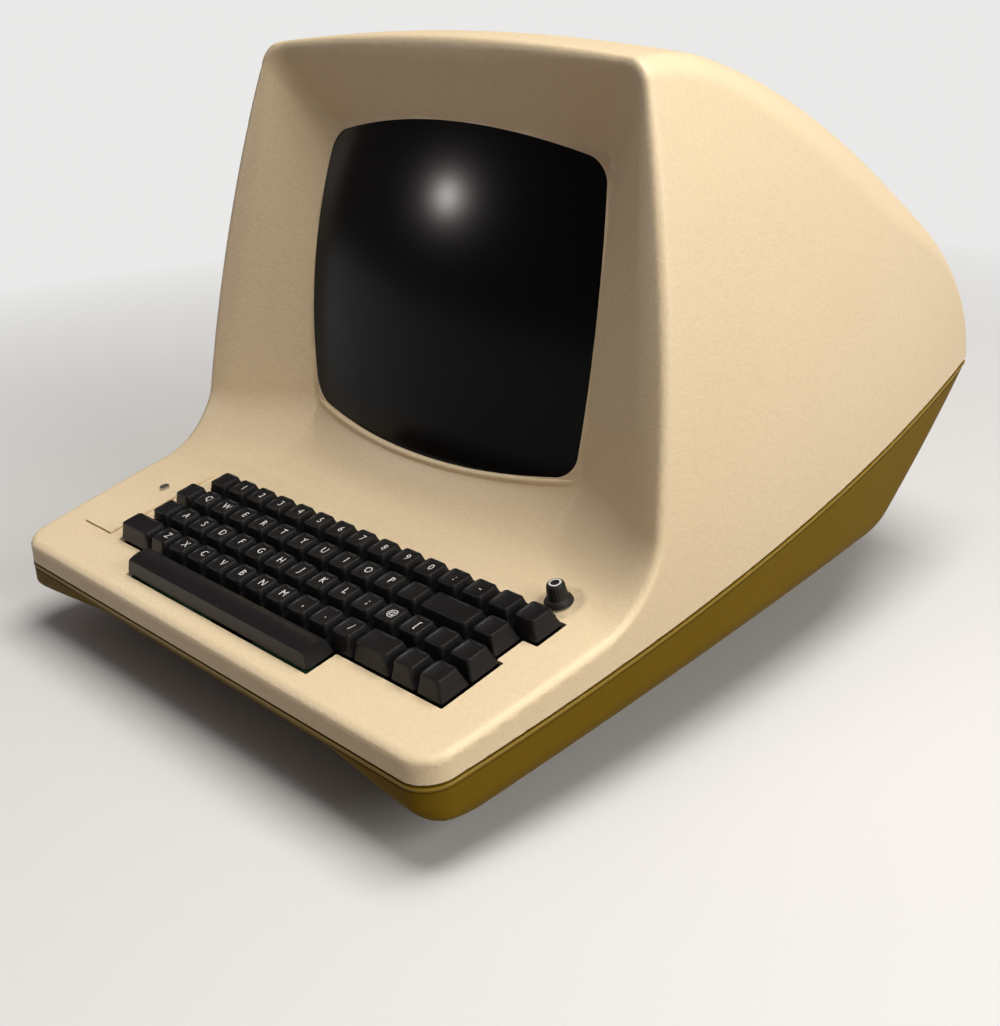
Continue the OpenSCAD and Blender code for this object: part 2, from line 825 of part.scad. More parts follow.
// Flyback transformer: ferrite core, potted winding, and its foot
module flyback_transformer() {
    x = side_board_x - board_t - 42;
    y = side_board_y[0] + 58;
    z = side_board_z[0] + 28;
    color("#33302e") difference() {
        translate([x + 4, y + 14, z]) cube([12, 12, 54]);
        translate([x + 3, y + 13, z + 11]) cube([14, 0.1, 32]);
    }
    color("#33302e") {
        translate([x + 4, y + 14, z]) cube([34, 12, 11]);
        translate([x + 4, y + 14, z + 43]) cube([34, 12, 11]);
    }
    color("#26242a") difference() {
        translate([x + 28, y + 20, z + 11.3]) cylinder(d = 20, h = 31.4);
        translate([x + 28, y + 20, z + 11]) cylinder(d = 6, h = 40);
    }
    color("#8d6a3a") translate([x + 38, y + 6, z + 4]) cube([4, 28, 46]);
}

// Main board under the deck: the key switches, chips and option switches stand on it
module logic_board() {
    color("#4f7a3c") on_deck() difference() {
        translate([board_x[0], board_v[0], -board_depth - board_t])
            cube([board_x[1] - board_x[0], board_v[1] - board_v[0], board_t]);
        for (p = post_spots) translate([p[0], p[1], -board_depth - 5]) cylinder(d = 3.4, h = 10);
    }
}

module logic_chips() {
    color("#2a2a2c") on_deck() for (r = [0 : 3], c = [0 : 9]) {
        v = 113 + r * 17;
        x = board_x[0] + 20 + c * 29;
        if (!(r == 0 && x > 130) && !(r == 3 && abs(x - 20) < 16) && !(r == 3 && abs(x) > 145))
            translate([x, v, -board_depth]) {
                translate([0, 0, 0.3]) cube([20, 7, 3.6]);
                for (k = [0 : 6]) translate([1.2 + k * 2.9, 0.5, 0]) cube([0.6, 6, 0.4]);
            }
    }
}

function key_x(r, u) = row_left[r] + u * key_pitch;
function key_v(r) = (4.5 - r) * key_pitch;

// Every key as [row, offset in keys, width in keys]
rear_row = [for (i = [0 : 14]) [0, i, 1]];
middle_row = [[1, 0, 1], [1, 11, 1], [1, 14, 1], for (i = [0, 10, 11, 12, 13, 14]) [2, i, 1]];
low_row = [for (i = [8.75, 9.75, 10.75, 13.25, 14.25]) [3, i, 1]];
return_at = [1, 12, 2];
left_shift_at = [3, 0, 1.75];
right_shift_at = [3, 11.75, 1.5];
rows = ["", "qwertyuiop", "asdfghjkl", "zxcvbnm"];
first_at = [0, 1, 1, 1.75];
function letter_at(r, i) = [r, first_at[r] + i, 1];
letters = [for (r = [1 : 3], i = [0 : len(rows[r]) - 1]) letter_at(r, i)];
switch_spots = concat(rear_row, middle_row, low_row, letters, [return_at, left_shift_at, right_shift_at]);

module key_switches() {
    color("#3a3230") on_deck() difference() {
        union() {
            for (k = switch_spots)
                translate([key_x(k[0], k[1] + k[2] / 2), key_v(k[0]), -board_depth]) switch_body();
            translate([(bar_left + bar_right) / 2, key_pitch / 2, -board_depth]) switch_body();
        }
    }
}

module switch_body() {
    difference() {
        union() {
            translate([-housing_s / 2, -housing_s / 2, 0]) cube([housing_s, housing_s, housing_h - 4]);
            linear_extrude(housing_h) square(housing_s - 3.4, center = true);
        }
        translate([0, 0, housing_h - stem_len - key_travel + 2.5]) cylinder(d = stem_d + stem_play, h = 20);
    }
}

// A keycap: tapered sides, a scooped top, a hollow underside and a round stem
module keycap(k) {
    w = k[2] * key_pitch - key_gap;
    d = key_pitch - key_gap;
    h = key_top + key_skirt;
    wall = 1.3;
    top_w = w - 2 * key_taper;
    scoop = min(top_w, d - 2 * key_taper) / 2 + 0.6;
    scoop_radius = (scoop * scoop + key_dish * key_dish) / (2 * key_dish);
    color("#26272a") on_deck() translate([key_x(k[0], k[1] + k[2] / 2), key_v(k[0]), -key_skirt]) {
        difference() {
            keycap_body(w, d, h, 0);
            keycap_body(w - 2 * wall, d - 2 * wall, h - key_dish - wall, 0);
            translate([0, 0, h + scoop_radius - key_dish]) rotate([90, 0, 0])
                if (k[2] < 2.5) scoop_cut(scoop_radius, top_w - 2 * scoop, d);
        }
        stem_from = -stem_len;
        translate([0, 0, stem_from]) cylinder(d = stem_d, h = h - key_dish - wall - stem_from + 0.3);
    }
}

module scoop_cut(r, wide, d) {
    linear_extrude(d + 2, center = true) {
        if (wide > 0) {
            translate([-wide / 2, 0]) circle(r, $fn = 96);
            translate([wide / 2, 0]) circle(r, $fn = 96);
            translate([-wide / 2, -r]) square([wide, r]);
        } else {
            circle(r, $fn = 96);
        }
    }
}

module keycap_body(w, d, h, z) {
    t = key_taper;
    intersection() {
        rotate([90, 0, 0]) linear_extrude(d + 2, center = true)
            polygon([[-w / 2, z], [w / 2, z], [w / 2 - t * h / 10, z + h], [-w / 2 + t * h / 10, z + h]]);
        rotate([90, 0, 90]) linear_extrude(w + 2, center = true)
            polygon([[-d / 2, z], [d / 2, z], [d / 2 - t * h / 10, z + h], [-d / 2 + t * h / 10, z + h]]);
        linear_extrude(60, center = true) rounded_2d(w, d, 1.6);
    }
}

module number_keys() {
    for (k = rear_row) keycap(k);
}

module edge_keys() {
    for (k = middle_row) keycap(k);
}

module low_keys() {
    for (k = low_row) keycap(k);
}

module return_key() {
    keycap(return_at);
}

module left_shift() {
    keycap(left_shift_at);
}

module right_shift() {
    keycap(right_shift_at);
}

// Space bar: rounded along its length instead of scooped
module space_bar() {
    w = bar_units * key_pitch - key_gap;
    d = key_pitch - key_gap - 0.2;
    h = key_top + key_skirt - 0.6;
    wall = 1.3;
    arch = 15;
    color("#26272a") on_deck() translate([(bar_left + bar_right) / 2, key_pitch / 2, -key_skirt]) {
        difference() {
            intersection() {
                keycap_body(w, d, h, 0);
                translate([0, 0, h - arch]) rotate([0, 90, 0])
                    cylinder(r = arch, h = w, center = true, $fn = 96);
            }
            keycap_body(w - 2 * wall, d - 2 * wall, h - 2 * wall - 1.2, 0);
        }
        translate([0, 0, -stem_len]) cylinder(d = stem_d, h = h - 2 * wall - 1.2 + stem_len + 0.3);
    }
}

// Knob with a sloping skirt and a fluted grip, on the shaft that turns with it
module brightness_knob() {
    top = knob_h - rest;
    grip = knob_grip_d / 2;
    skirt = knob_skirt_d / 2;
    color("#232426") on_deck() translate([knob_x, knob_v, rest]) {
        difference() {
            rotate_extrude($fn = 96) polygon([
                [0, 2], [7, 2], [7, 0], [skirt, 0], [skirt - 1.2, 2.6], [grip + 0.9, 3.2],
                [grip + 0.3, top - 0.7], [grip - 0.5, top], [0, top]
            ]);
            for (a = [0 : 20 : 340]) rotate(a) translate([grip + 1.1, 0, 3.6])
                cylinder(d = 1.7, h = knob_h);
        }
        translate([0, 0, -16]) cylinder(d = shaft_d, h = 18.5);
    }
}

module brightness_control() {
    color("#9a9c9c") on_deck() translate([knob_x, knob_v, 0]) difference() {
        union() {
            translate([0, 0, -hood_wall - 11.5]) cylinder(d = 24, h = 11.5 - rest);
            translate([0, 0, -hood_wall - 1]) cylinder(d = 9.4, h = hood_wall + 2.2);
        }
        translate([0, 0, -hood_wall - 11.6]) cylinder(d = shaft_d + shaft_play, h = 30);
    }
    color("#8a6a3a") on_deck() for (i = [-1 : 1])
        translate([knob_x - 1 + i * 5, knob_v + 11, -hood_wall - 9]) cube([2, 7, 0.8]);
}

module access_plate() {
    color("#d8cdb4") on_deck() difference() {
        translate([plate_x, plate_v, -plate_t]) linear_extrude(plate_t) rounded_2d(plate_w, plate_l, 1.2);
        translate([plate_x, plate_screw_v, -5]) cylinder(d = 3.4, h = 10);
        translate([plate_x, plate_screw_v, -0.8]) cylinder(d1 = 3.4, d2 = 5, h = 0.81);
    }
}

module plate_screw() {
    color("#b9babb") on_deck() translate([plate_x, plate_screw_v, 0]) difference() {
        union() {
            translate([0, 0, 0]) cylinder(d = 6, h = 1.6);
            translate([0, 0, -6]) cylinder(d = 2.6, h = 6.1);
        }
        for (a = [0, 90]) rotate(a) translate([-1.8, -0.4, 0.8]) cube([3.6, 0.8, 1]);
    }
}

module option_switches() {
    color("#8c2f2a") on_deck() for (v = [26, 76])
        translate([plate_x - 5, v, -board_depth + 0.3]) difference() {
            cube([10, v < 50 ? 34 : 14, 7]);
            for (i = [0 : 1 : v < 50 ? 11 : 3]) translate([2.5, 1.6 + i * 2.9, 5]) cube([5, 1.4, 3]);
        }
    color("#efe8d8") on_deck() for (v = [26, 76], i = [0 : 1 : v < 50 ? 10 : 3])
        translate([plate_x - 2.2, v + 1.7 + i * 2.9, -board_depth + 5.35]) cube([1.6, 1.2, 2.6]);
}

// Mains transformer: laminated core, winding and mounting frame
module power_transformer() {
    x = -74;
    y = panel_y - 150;
    w = 72;
    d = 60;
    h = 58;
    color("#55585a") translate([x, y, floor_z]) {
        difference() {
            translate([0, 12, 3]) cube([w, d - 24, h]);
            for (s = [0, 1]) translate([12 + s * 30, 11, 15]) cube([18, d - 22, h - 24]);
        }
        difference() {
            translate([-12, 10, 0]) cube([w + 24, d - 20, 3]);
            for (s = [-6, w + 6]) translate([s, d / 2, -1]) cylinder(d = 4.5, h = 6);
        }
    }
    color("#c9a36a") translate([x, y, floor_z]) difference() {
        translate([12.3, 2, 15.3]) cube([47.4, d - 4, h - 24.6]);
        translate([30, 1, 14]) cube([12, d, h]);
    }
}

module filter_capacitors() {
    for (y = [panel_y - 134, panel_y - 100]) translate([28, y, floor_z]) {
        color("#3a5f8a") cylinder(d = 29, h = 62);
        color("#c8c8c8") translate([0, 0, 62]) cylinder(d = 26, h = 1.5);
        color("#b9babb") for (s = [-5, 5]) translate([s, 0, 63.4]) cylinder(d = 6, h = 4);
    }
}

// Finned heat sink with two power transistors on its face
module heat_sink() {
    x = 45;
    y = panel_y - 131;
    color("#7d8082") translate([x, y, floor_z]) {
        cube([46, 5, 48]);
        for (i = [0 : 7]) translate([i * 6.2, 4.9, 0]) cube([2.6, 28, 48]);
    }
    hole_z = floor_z + 26;
    color("#b4b6b6") for (i = [0, 1]) translate([x + 12 + i * 22, y - 1.5, hole_z]) rotate([90, 0, 0]) {
        cylinder(d = 19, h = 7);
        translate([0, 0, -1.5]) linear_extrude(1.6) union() {
            circle(d = 21);
            square([9, 34], center = true);
        }
    }
}

module rear_panel() {
    color("#a9aba9") difference() {
        translate([-panel_w / 2, panel_y, panel_z - panel_h / 2]) cube([panel_w, panel_t, panel_h]);
        for (x = port_x) port_cut(x);
        rear_at(fuse_x, 0) cylinder(d = 12.6, h = 20, center = true);
        translate([rocker_x - 6.9, panel_y - 5, panel_z - 10.4]) cube([13.8, 20, 20.8]);
        rear_at(gland_x, 0) cylinder(d = 12.6, h = 20, center = true);
        panel_screw_spots() rotate([-90, 0, 0]) cylinder(d = 3.4, h = 10, center = true);
    }
    color("#b9babb") panel_screw_spots() rotate([-90, 0, 0]) {
        translate([0, 0, panel_t]) cylinder(d = 5.6, h = 1.8);
        translate([0, 0, -4]) cylinder(d = 2.6, h = panel_t + 4.1);
    }
}

module rear_at(x, dz) {
    translate([x, panel_y, panel_z + dz]) rotate([-90, 0, 0]) children();
}

module port_cut(x) {
    rear_at(x, 0) {
        linear_extrude(30, center = true)
            polygon([[-20.2, -4.6], [20.2, -4.6], [18.6, 4.6], [-18.6, 4.6]]);
        for (s = [-1, 1]) translate([s * jack_spacing / 2, 0, -10]) cylinder(d = jack_d + 0.4, h = 30);
    }
}

// Two 25-way sockets: flange, D shell, insulator with its holes, and jackscrews
module data_connectors() {
    for (x = port_x) rear_at(x, 0) {
        color("#c4c6c6") difference() {
            union() {
                translate([0, 0, panel_t]) linear_extrude(1) rounded_2d(53, 12.5, 2);
                translate([0, 0, panel_t]) linear_extrude(6.6)
                    polygon([[-19.6, -4.2], [19.6, -4.2], [18.2, 4.2], [-18.2, 4.2]]);
                translate([0, 0, -9]) linear_extrude(9.1 + panel_t)
                    polygon([[-19.6, -4.2], [19.6, -4.2], [18.2, 4.2], [-18.2, 4.2]]);
            }
            for (i = [0 : 12]) translate([(i - 6) * 2.76, -1.4, 2]) cylinder(d = 1.2, h = 8);
            for (i = [0 : 11]) translate([(i - 5.5) * 2.76, 1.4, 2]) cylinder(d = 1.2, h = 8);
            for (s = [-1, 1]) translate([s * jack_spacing / 2, 0, -1]) cylinder(d = jack_d + 0.4, h = 10);
        }
        color("#b9babb") for (s = [-1, 1]) translate([s * jack_spacing / 2, 0, 0]) difference() {
            union() {
                translate([0, 0, panel_t + 1]) cylinder(d = 5.4, h = 5, $fn = 6);
                translate([0, 0, -3]) cylinder(d = jack_d, h = 6);
            }
            translate([0, 0, panel_t + 2]) cylinder(d = jack_d, h = 8);
        }
    }
}

module fuse_holder() {
    color("#1f2022") rear_at(fuse_x, 0) {
        translate([0, 0, panel_t]) cylinder(d = 16, h = 2);
        translate([0, 0, -26]) cylinder(d = 12, h = 28);
        difference() {
            translate([0, 0, panel_t + 1.9]) cylinder(d1 = 13, d2 = 12, h = 8);
            translate([-5, -0.8, panel_t + 8.4]) cube([10, 1.6, 3]);
        }
    }
}

module power_switch() {
    color("#1f2022") translate([rocker_x, panel_y, panel_z]) difference() {
        union() {
            translate([-8, panel_t, -11.5]) cube([16, 1.8, 23]);
            translate([-6.5, -14, -10]) cube([13, 15.7, 20]);
        }
        translate([-4.8, -7.5, -8.8]) cube([9.6, 20, 17.6]);
        translate([-10, -1, 0]) rotate([0, 90, 0]) cylinder(d = 2.2, h = 20);
    }
}

// Rocker: two flat faces at a shallow angle on a cross pin
module power_rocker() {
    color("#8f2320") translate([rocker_x, panel_y, panel_z]) {
        intersection() {
            translate([-4.5, -5, -8.2]) cube([9, 14, 16.4]);
            translate([-10, -1, 0]) rotate([90, 0, 90]) linear_extrude(20)
                polygon([[-2, -2.4], [4.4, -8], [6.6, -8], [4.6, 0], [6.6, 8], [4.4, 8], [-2, 2.4]]);
        }
        translate([-6.2, -1, 0]) rotate([0, 90, 0]) cylinder(d = 2.1, h = 12.4);
    }
}

module cord_gland() {
    color("#1f2022") rear_at(gland_x, 0) difference() {
        union() {
            translate([0, 0, panel_t]) cylinder(d = 17, h = 3);
            translate([0, 0, panel_t + 2.9]) cylinder(d1 = 13, d2 = 10.6, h = 12);
            translate([0, 0, -4]) cylinder(d = 12, h = 6);
            translate([0, 0, -6]) cylinder(d = 14, h = 6 - rest);
        }
        translate([0, 0, -10]) cylinder(d = gland_bore, h = 40);
        for (i = [0 : 2]) translate([-8, -0.8 + (i % 2) * 0, panel_t + 5 + i * 3.4])
            rotate([0, 0, i * 90]) translate([4.6, -3, 0]) cube([8, 6, 1.4]);
    }
}

module rubber_feet() {
    color("#202122") for (f = foot_spots) translate([f[0], f[1], 0]) {
        difference() {
            cylinder(d1 = foot_d - 3, d2 = foot_d, h = belly_z);
            translate([0, 0, -0.1]) cylinder(d = 8, h = 3.1);
        }
        translate([0, 0, belly_z - 0.1]) cylinder(d = 5, h = base_wall + 0.4);
        translate([0, 0, floor_z + 0.2]) cylinder(d1 = 8.4, d2 = 5.4, h = 2.4);
    }
}

module hinge_pins() {
    color("#b9babb") for (s = [-1, 1]) translate([s * hinge_x, hinge_y, hinge_z])
        rotate([0, 90, 0]) {
            cylinder(d = pin_d, h = hinge_w, center = true);
            translate([0, 0, hinge_w / 2]) cylinder(d = 5, h = 1.2);
        }
}

module key_q() {
    keycap(letter_at(1, 0));
}

module key_w() {
    keycap(letter_at(1, 1));
}

module key_e() {
    keycap(letter_at(1, 2));
}

module key_r() {
    keycap(letter_at(1, 3));
}

module key_t() {
    keycap(letter_at(1, 4));
}

module key_y() {
    keycap(letter_at(1, 5));
}

module key_u() {
    keycap(letter_at(1, 6));
}

module key_i() {
    keycap(letter_at(1, 7));
}

module key_o() {
    keycap(letter_at(1, 8));
}

module key_p() {
    keycap(letter_at(1, 9));
}

module key_a() {
    keycap(letter_at(2, 0));
}

module key_s() {
    keycap(letter_at(2, 1));
}

module key_d() {
    keycap(letter_at(2, 2));
}

module key_f() {
    keycap(letter_at(2, 3));
}

module key_g() {
    keycap(letter_at(2, 4));
}

module key_h() {
    keycap(letter_at(2, 5));
}

module key_j() {
    keycap(letter_at(2, 6));
}

module key_k() {
    keycap(letter_at(2, 7));
}

module key_l() {
    keycap(letter_at(2, 8));
}

module key_z() {
    keycap(letter_at(3, 0));
}

module key_x() {
    keycap(letter_at(3, 1));
}

module key_c() {
    keycap(letter_at(3, 2));
}

module key_v() {
    keycap(letter_at(3, 3));
}

module key_b() {
    keycap(letter_at(3, 4));
}

module key_n() {
    keycap(letter_at(3, 5));
}

module key_m() {
    keycap(letter_at(3, 6));
}

base_shell();
top_cover();
crt_tube();
crt_band();
deflection_yoke();
tube_socket();
monitor_board();
flyback_transformer();
logic_board();
logic_chips();
key_switches();
brightness_knob();
brightness_control();
access_plate();
plate_screw();
option_switches();
power_transformer();
filter_capacitors();
heat_sink();
rear_panel();
data_connectors();
fuse_holder();
power_switch();
power_rocker();
cord_gland();
rubber_feet();
hinge_pins();
number_keys();
edge_keys();
low_keys();
return_key();
left_shift();
right_shift();
space_bar();
key_q();
key_w();
key_e();
key_r();
key_t();
key_y();
key_u();
key_i();
key_o();
key_p();
key_a();
key_s();
key_d();
key_f();
key_g();
key_h();
key_j();
key_k();
key_l();
key_z();
key_x();
key_c();
key_v();
key_b();
key_n();
key_m();
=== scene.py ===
import json
import math
import bpy
import numpy as np
from mathutils import Matrix, Vector


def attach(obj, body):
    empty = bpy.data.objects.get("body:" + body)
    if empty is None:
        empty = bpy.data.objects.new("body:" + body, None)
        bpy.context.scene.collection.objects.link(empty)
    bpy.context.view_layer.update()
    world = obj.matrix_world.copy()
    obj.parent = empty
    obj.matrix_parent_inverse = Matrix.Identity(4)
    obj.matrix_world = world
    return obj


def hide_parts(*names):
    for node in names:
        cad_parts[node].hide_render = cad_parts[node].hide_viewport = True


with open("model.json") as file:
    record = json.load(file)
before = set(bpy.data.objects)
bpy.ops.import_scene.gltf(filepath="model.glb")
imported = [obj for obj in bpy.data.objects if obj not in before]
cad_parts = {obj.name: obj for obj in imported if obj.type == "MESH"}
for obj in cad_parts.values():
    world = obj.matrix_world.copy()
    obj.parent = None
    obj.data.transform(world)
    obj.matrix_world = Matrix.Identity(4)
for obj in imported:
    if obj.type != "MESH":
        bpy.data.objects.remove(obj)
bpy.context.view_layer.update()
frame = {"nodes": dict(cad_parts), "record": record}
scene = bpy.context.scene
print("frame loaded:", len(frame["nodes"]), "nodes")

# Camera
# Where the photograph was taken from, in metres and radians
camera = {
    "place": (0.6096, -0.5687, 0.3915),
    "yaw": 0.836,
    "pitch": 0.370,
    "roll": -0.043,
    "focalInWidths": 1.4424,
    # where the line of sight meets the picture, from its left and top edges, in widths
    "middle": (0.50216, 0.49184),
    "tall": 1.026,
    "sensorWidth": 36,
    "clip": (0.02, 60),
}


def addCamera():
    yaw, pitch, roll = camera["yaw"], camera["pitch"], camera["roll"]
    ahead = Vector((-math.sin(yaw) * math.cos(pitch), math.cos(yaw) * math.cos(pitch), -math.sin(pitch)))
    right = Vector((math.cos(yaw), math.sin(yaw), 0))
    up = right.cross(ahead)
    across = right * math.cos(roll) + up * math.sin(roll)
    upright = up * math.cos(roll) - right * math.sin(roll)
    data = bpy.data.cameras.new("view")
    data.sensor_fit = "HORIZONTAL"
    data.sensor_width = camera["sensorWidth"]
    data.lens = camera["focalInWidths"] * camera["sensorWidth"]
    fromLeft, fromTop = camera["middle"]
    data.shift_x = 0.5 - fromLeft
    data.shift_y = (fromTop / camera["tall"] - 0.5) * camera["tall"]
    data.clip_start, data.clip_end = camera["clip"]
    seen = bpy.data.objects.new("view", data)
    turn = Matrix((across, upright, -ahead)).transposed().to_4x4()
    seen.matrix_world = Matrix.Translation(camera["place"]) @ turn
    scene.collection.objects.link(seen)
    scene.camera = seen


addCamera()
print("camera placed")

# Shader groups
# A node group with float or colour sockets. Colours are given as tuples.
def newGroup(name, inputs, outputs):
    group = bpy.data.node_groups.new(name, "ShaderNodeTree")
    for label, value in inputs.items():
        kind = "NodeSocketColor" if isinstance(value, tuple) else "NodeSocketFloat"
        socket = group.interface.new_socket(label, in_out="INPUT", socket_type=kind)
        socket.default_value = (*value, 1) if isinstance(value, tuple) else value
    for label in outputs:
        kind = "NodeSocketColor" if label == "Colour" else "NodeSocketFloat"
        group.interface.new_socket(label, in_out="OUTPUT", socket_type=kind)
    return group, group.nodes.new("NodeGroupInput"), group.nodes.new("NodeGroupOutput")


# One node. Each input is a number, a tuple or another node's socket, and i0 stands for the first one.
def place(tree, kind, settings=None, **inputs):
    node = tree.nodes.new(kind)
    for key, value in (settings or {}).items():
        setattr(node, key, value)
    for key, value in inputs.items():
        socket = node.inputs[int(key[1:]) if key[1:].isdigit() else key]
        if isinstance(value, bpy.types.NodeSocket):
            tree.links.new(value, socket)
        else:
            socket.default_value = value
    return node


def math2(tree, operation, a, b, clamp=False):
    return place(tree, "ShaderNodeMath", {"operation": operation, "use_clamp": clamp}, i0=a, i1=b).outputs[0]


def blendColour(tree, factor, a, b):
    return place(tree, "ShaderNodeMix", {"data_type": "RGBA"}, i0=factor, i6=a, i7=b).outputs[2]


def mapRange(tree, value, low, high, toLow=0.0, toHigh=1.0):
    node = place(tree, "ShaderNodeMapRange", {"clamp": True}, i0=value, i1=low, i2=high, i3=toLow, i4=toHigh)
    return node.outputs[0]


def objectPlace(tree):
    return place(tree, "ShaderNodeTexCoord").outputs["Object"]


# Room and light
studio = {
    "floorColour": (0.76, 0.755, 0.745),
    "floorHalf": 30.0,
    "floorRough": 0.62,
    "floorSpecular": 0.2,
    # the colour that the floor throws back on the object
    "bounceColour": (0.215, 0.185, 0.155),
    # the floor fades into this colour between two distances
    "farColour": (0.82, 0.816, 0.81),
    "fade": (0.42, 1.15),
    "worldColour": (0.90, 0.81, 0.77),
    "worldStrength": 0.155,
    # name: place, aim, width, height, watts, colour. Equal width and height make a disk
    "lamps": {
        "softTop": ((0.5, 0.12, 2.1), (0.0, 0.0, 0.1), 1.5, 1.2, 39, (1.0, 0.985, 0.955)),
        "softRight": ((2.0, 0.0, 1.1), (0.0, 0.0, 0.15), 1.2, 1.0, 23.5, (1.0, 0.98, 0.945)),
        "softLeft": ((-1.2, -1.8, 1.7), (0.0, 0.0, 0.15), 1.6, 1.5, 0.5, (1.0, 0.80, 0.78)),
        "glint": ((-0.932, -0.912, 0.526), (0.01, -0.057, 0.259), 0.075, 0.075, 2.9, (1.0, 0.93, 0.90)),
    },
}


# A level floor that has its own colour for the camera and for mirrored rays, and another for soft light.
def addFloor():
    half = studio["floorHalf"]
    mesh = bpy.data.meshes.new("floor")
    corners = [(-half, -half, 0), (half, -half, 0), (half, half, 0), (-half, half, 0)]
    mesh.from_pydata(corners, [], [(0, 1, 2, 3)])
    floor = bpy.data.objects.new("floor", mesh)
    scene.collection.objects.link(floor)
    material = bpy.data.materials.new("paleFloor")
    material.use_nodes = True
    tree = material.node_tree
    shader = tree.nodes["Principled BSDF"]
    shader.inputs["Roughness"].default_value = studio["floorRough"]
    shader.inputs["Specular IOR Level"].default_value = studio["floorSpecular"]
    far = place(tree, "ShaderNodeEmission", Color=(*studio["farColour"], 1), Strength=1.0)
    away = place(tree, "ShaderNodeVectorMath", {"operation": "LENGTH"}, i0=objectPlace(tree)).outputs["Value"]
    path = place(tree, "ShaderNodeLightPath").outputs
    seen = math2(tree, "MAXIMUM", path["Is Camera Ray"], path["Is Glossy Ray"])
    seen = math2(tree, "MAXIMUM", seen, path["Is Transmission Ray"])
    colour = blendColour(tree, seen, (*studio["bounceColour"], 1), (*studio["floorColour"], 1))
    tree.links.new(colour, shader.inputs["Base Color"])
    share = math2(tree, "MULTIPLY", mapRange(tree, away, *studio["fade"]), seen)
    mix = place(tree, "ShaderNodeMixShader", i0=share, i1=shader.outputs[0], i2=far.outputs[0])
    tree.links.new(mix.outputs[0], tree.nodes["Material Output"].inputs["Surface"])
    mesh.materials.append(material)


# Dim light from all round, and the far colour of the floor where the camera looks past it.
def addWorld():
    world = bpy.data.worlds.new("studio")
    world.use_nodes = True
    tree = world.node_tree
    dim = tree.nodes["Background"]
    dim.inputs["Color"].default_value = (*studio["worldColour"], 1)
    dim.inputs["Strength"].default_value = studio["worldStrength"]
    path = place(tree, "ShaderNodeLightPath").outputs
    seen = math2(tree, "MAXIMUM", path["Is Camera Ray"], path["Is Transmission Ray"])
    far = place(tree, "ShaderNodeBackground", Color=(*studio["farColour"], 1), Strength=1)
    mix = place(tree, "ShaderNodeMixShader", i0=seen, i1=dim.outputs[0], i2=far.outputs[0])
    tree.links.new(mix.outputs[0], tree.nodes["World Output"].inputs[0])
    scene.world = world
    scene.view_settings.view_transform = "Standard"


# The glint is only mirrored in the glass and doesn't light the case.
def addLamps():
    for name, (spot, aim, width, height, watts, colour) in studio["lamps"].items():
        lamp = bpy.data.lights.new(name, "AREA")
        lamp.shape = "DISK" if width == height else "RECTANGLE"
        lamp.size, lamp.energy, lamp.color = width, watts, colour
        if lamp.shape == "RECTANGLE":
            lamp.size_y = height
        holder = bpy.data.objects.new(name, lamp)
        holder.location = spot
        holder.rotation_euler = (Vector(aim) - Vector(spot)).to_track_quat("-Z", "Y").to_euler()
        holder.visible_diffuse = name != "glint"
        scene.collection.objects.link(holder)


addFloor()
addWorld()
addLamps()
print("floor and lamps placed")

# Shared effects of the finishes
# How fine each texture is: features along one metre of the object
textures = {
    "fineGrain": 900.0, "broadGrain": 380.0, "clouds": 5.0, "specks": 75.0, "rubbing": 160.0, "darkRing": 110.0,
}


def scaled(group, start, texture):
    return math2(group, "DIVIDE", textures[texture], start.outputs["Size"])


# Moulded grain: two sizes of rounded bumps, with the hollows kept and the tops worn flat.
def buildGrain():
    group, start, end = newGroup(
        "mouldedGrain", {"Size": 1.0, "Coarse": 0.5, "Seed": 0.0}, ["Height", "Cavity"])
    where = objectPlace(group)
    fine = place(group, "ShaderNodeTexNoise", {"noise_dimensions": "4D"}, Vector=where,
                 Scale=scaled(group, start, "fineGrain"), Detail=2.0, W=start.outputs["Seed"])
    broad = place(group, "ShaderNodeTexVoronoi", {"feature": "SMOOTH_F1"}, Vector=where,
                  Scale=scaled(group, start, "broadGrain"))
    bumps = math2(group, "MULTIPLY", broad.outputs["Distance"], start.outputs["Coarse"])
    height = math2(group, "SUBTRACT", fine.outputs["Fac"], bumps)
    group.links.new(height, end.inputs["Height"])
    group.links.new(mapRange(group, height, 0.35, 0.1), end.inputs["Cavity"])


# Ageing: broad yellowed clouds and small stains over a base colour.
def buildAge():
    group, start, end = newGroup(
        "ageTint",
        {"Base": (0.8, 0.8, 0.8), "Aged": (0.7, 0.6, 0.5), "Amount": 0.3, "Stains": 0.1, "Size": 1.0},
        ["Colour", "Mask"])
    where = objectPlace(group)
    cloud = place(group, "ShaderNodeTexNoise", Vector=where, Scale=scaled(group, start, "clouds"), Detail=3.0,
                  Roughness=0.55)
    speck = place(group, "ShaderNodeTexNoise", Vector=where, Scale=scaled(group, start, "specks"), Detail=4.0,
                  Roughness=0.6)
    clouds = mapRange(group, cloud.outputs["Fac"], 0.35, 0.7)
    specks = mapRange(group, speck.outputs["Fac"], 0.62, 0.78)
    mask = math2(group, "ADD", math2(group, "MULTIPLY", clouds, start.outputs["Amount"]),
                 math2(group, "MULTIPLY", specks, start.outputs["Stains"]), True)
    tinted = blendColour(group, mask, start.outputs["Base"], start.outputs["Aged"])
    group.links.new(tinted, end.inputs["Colour"])
    group.links.new(mask, end.inputs["Mask"])


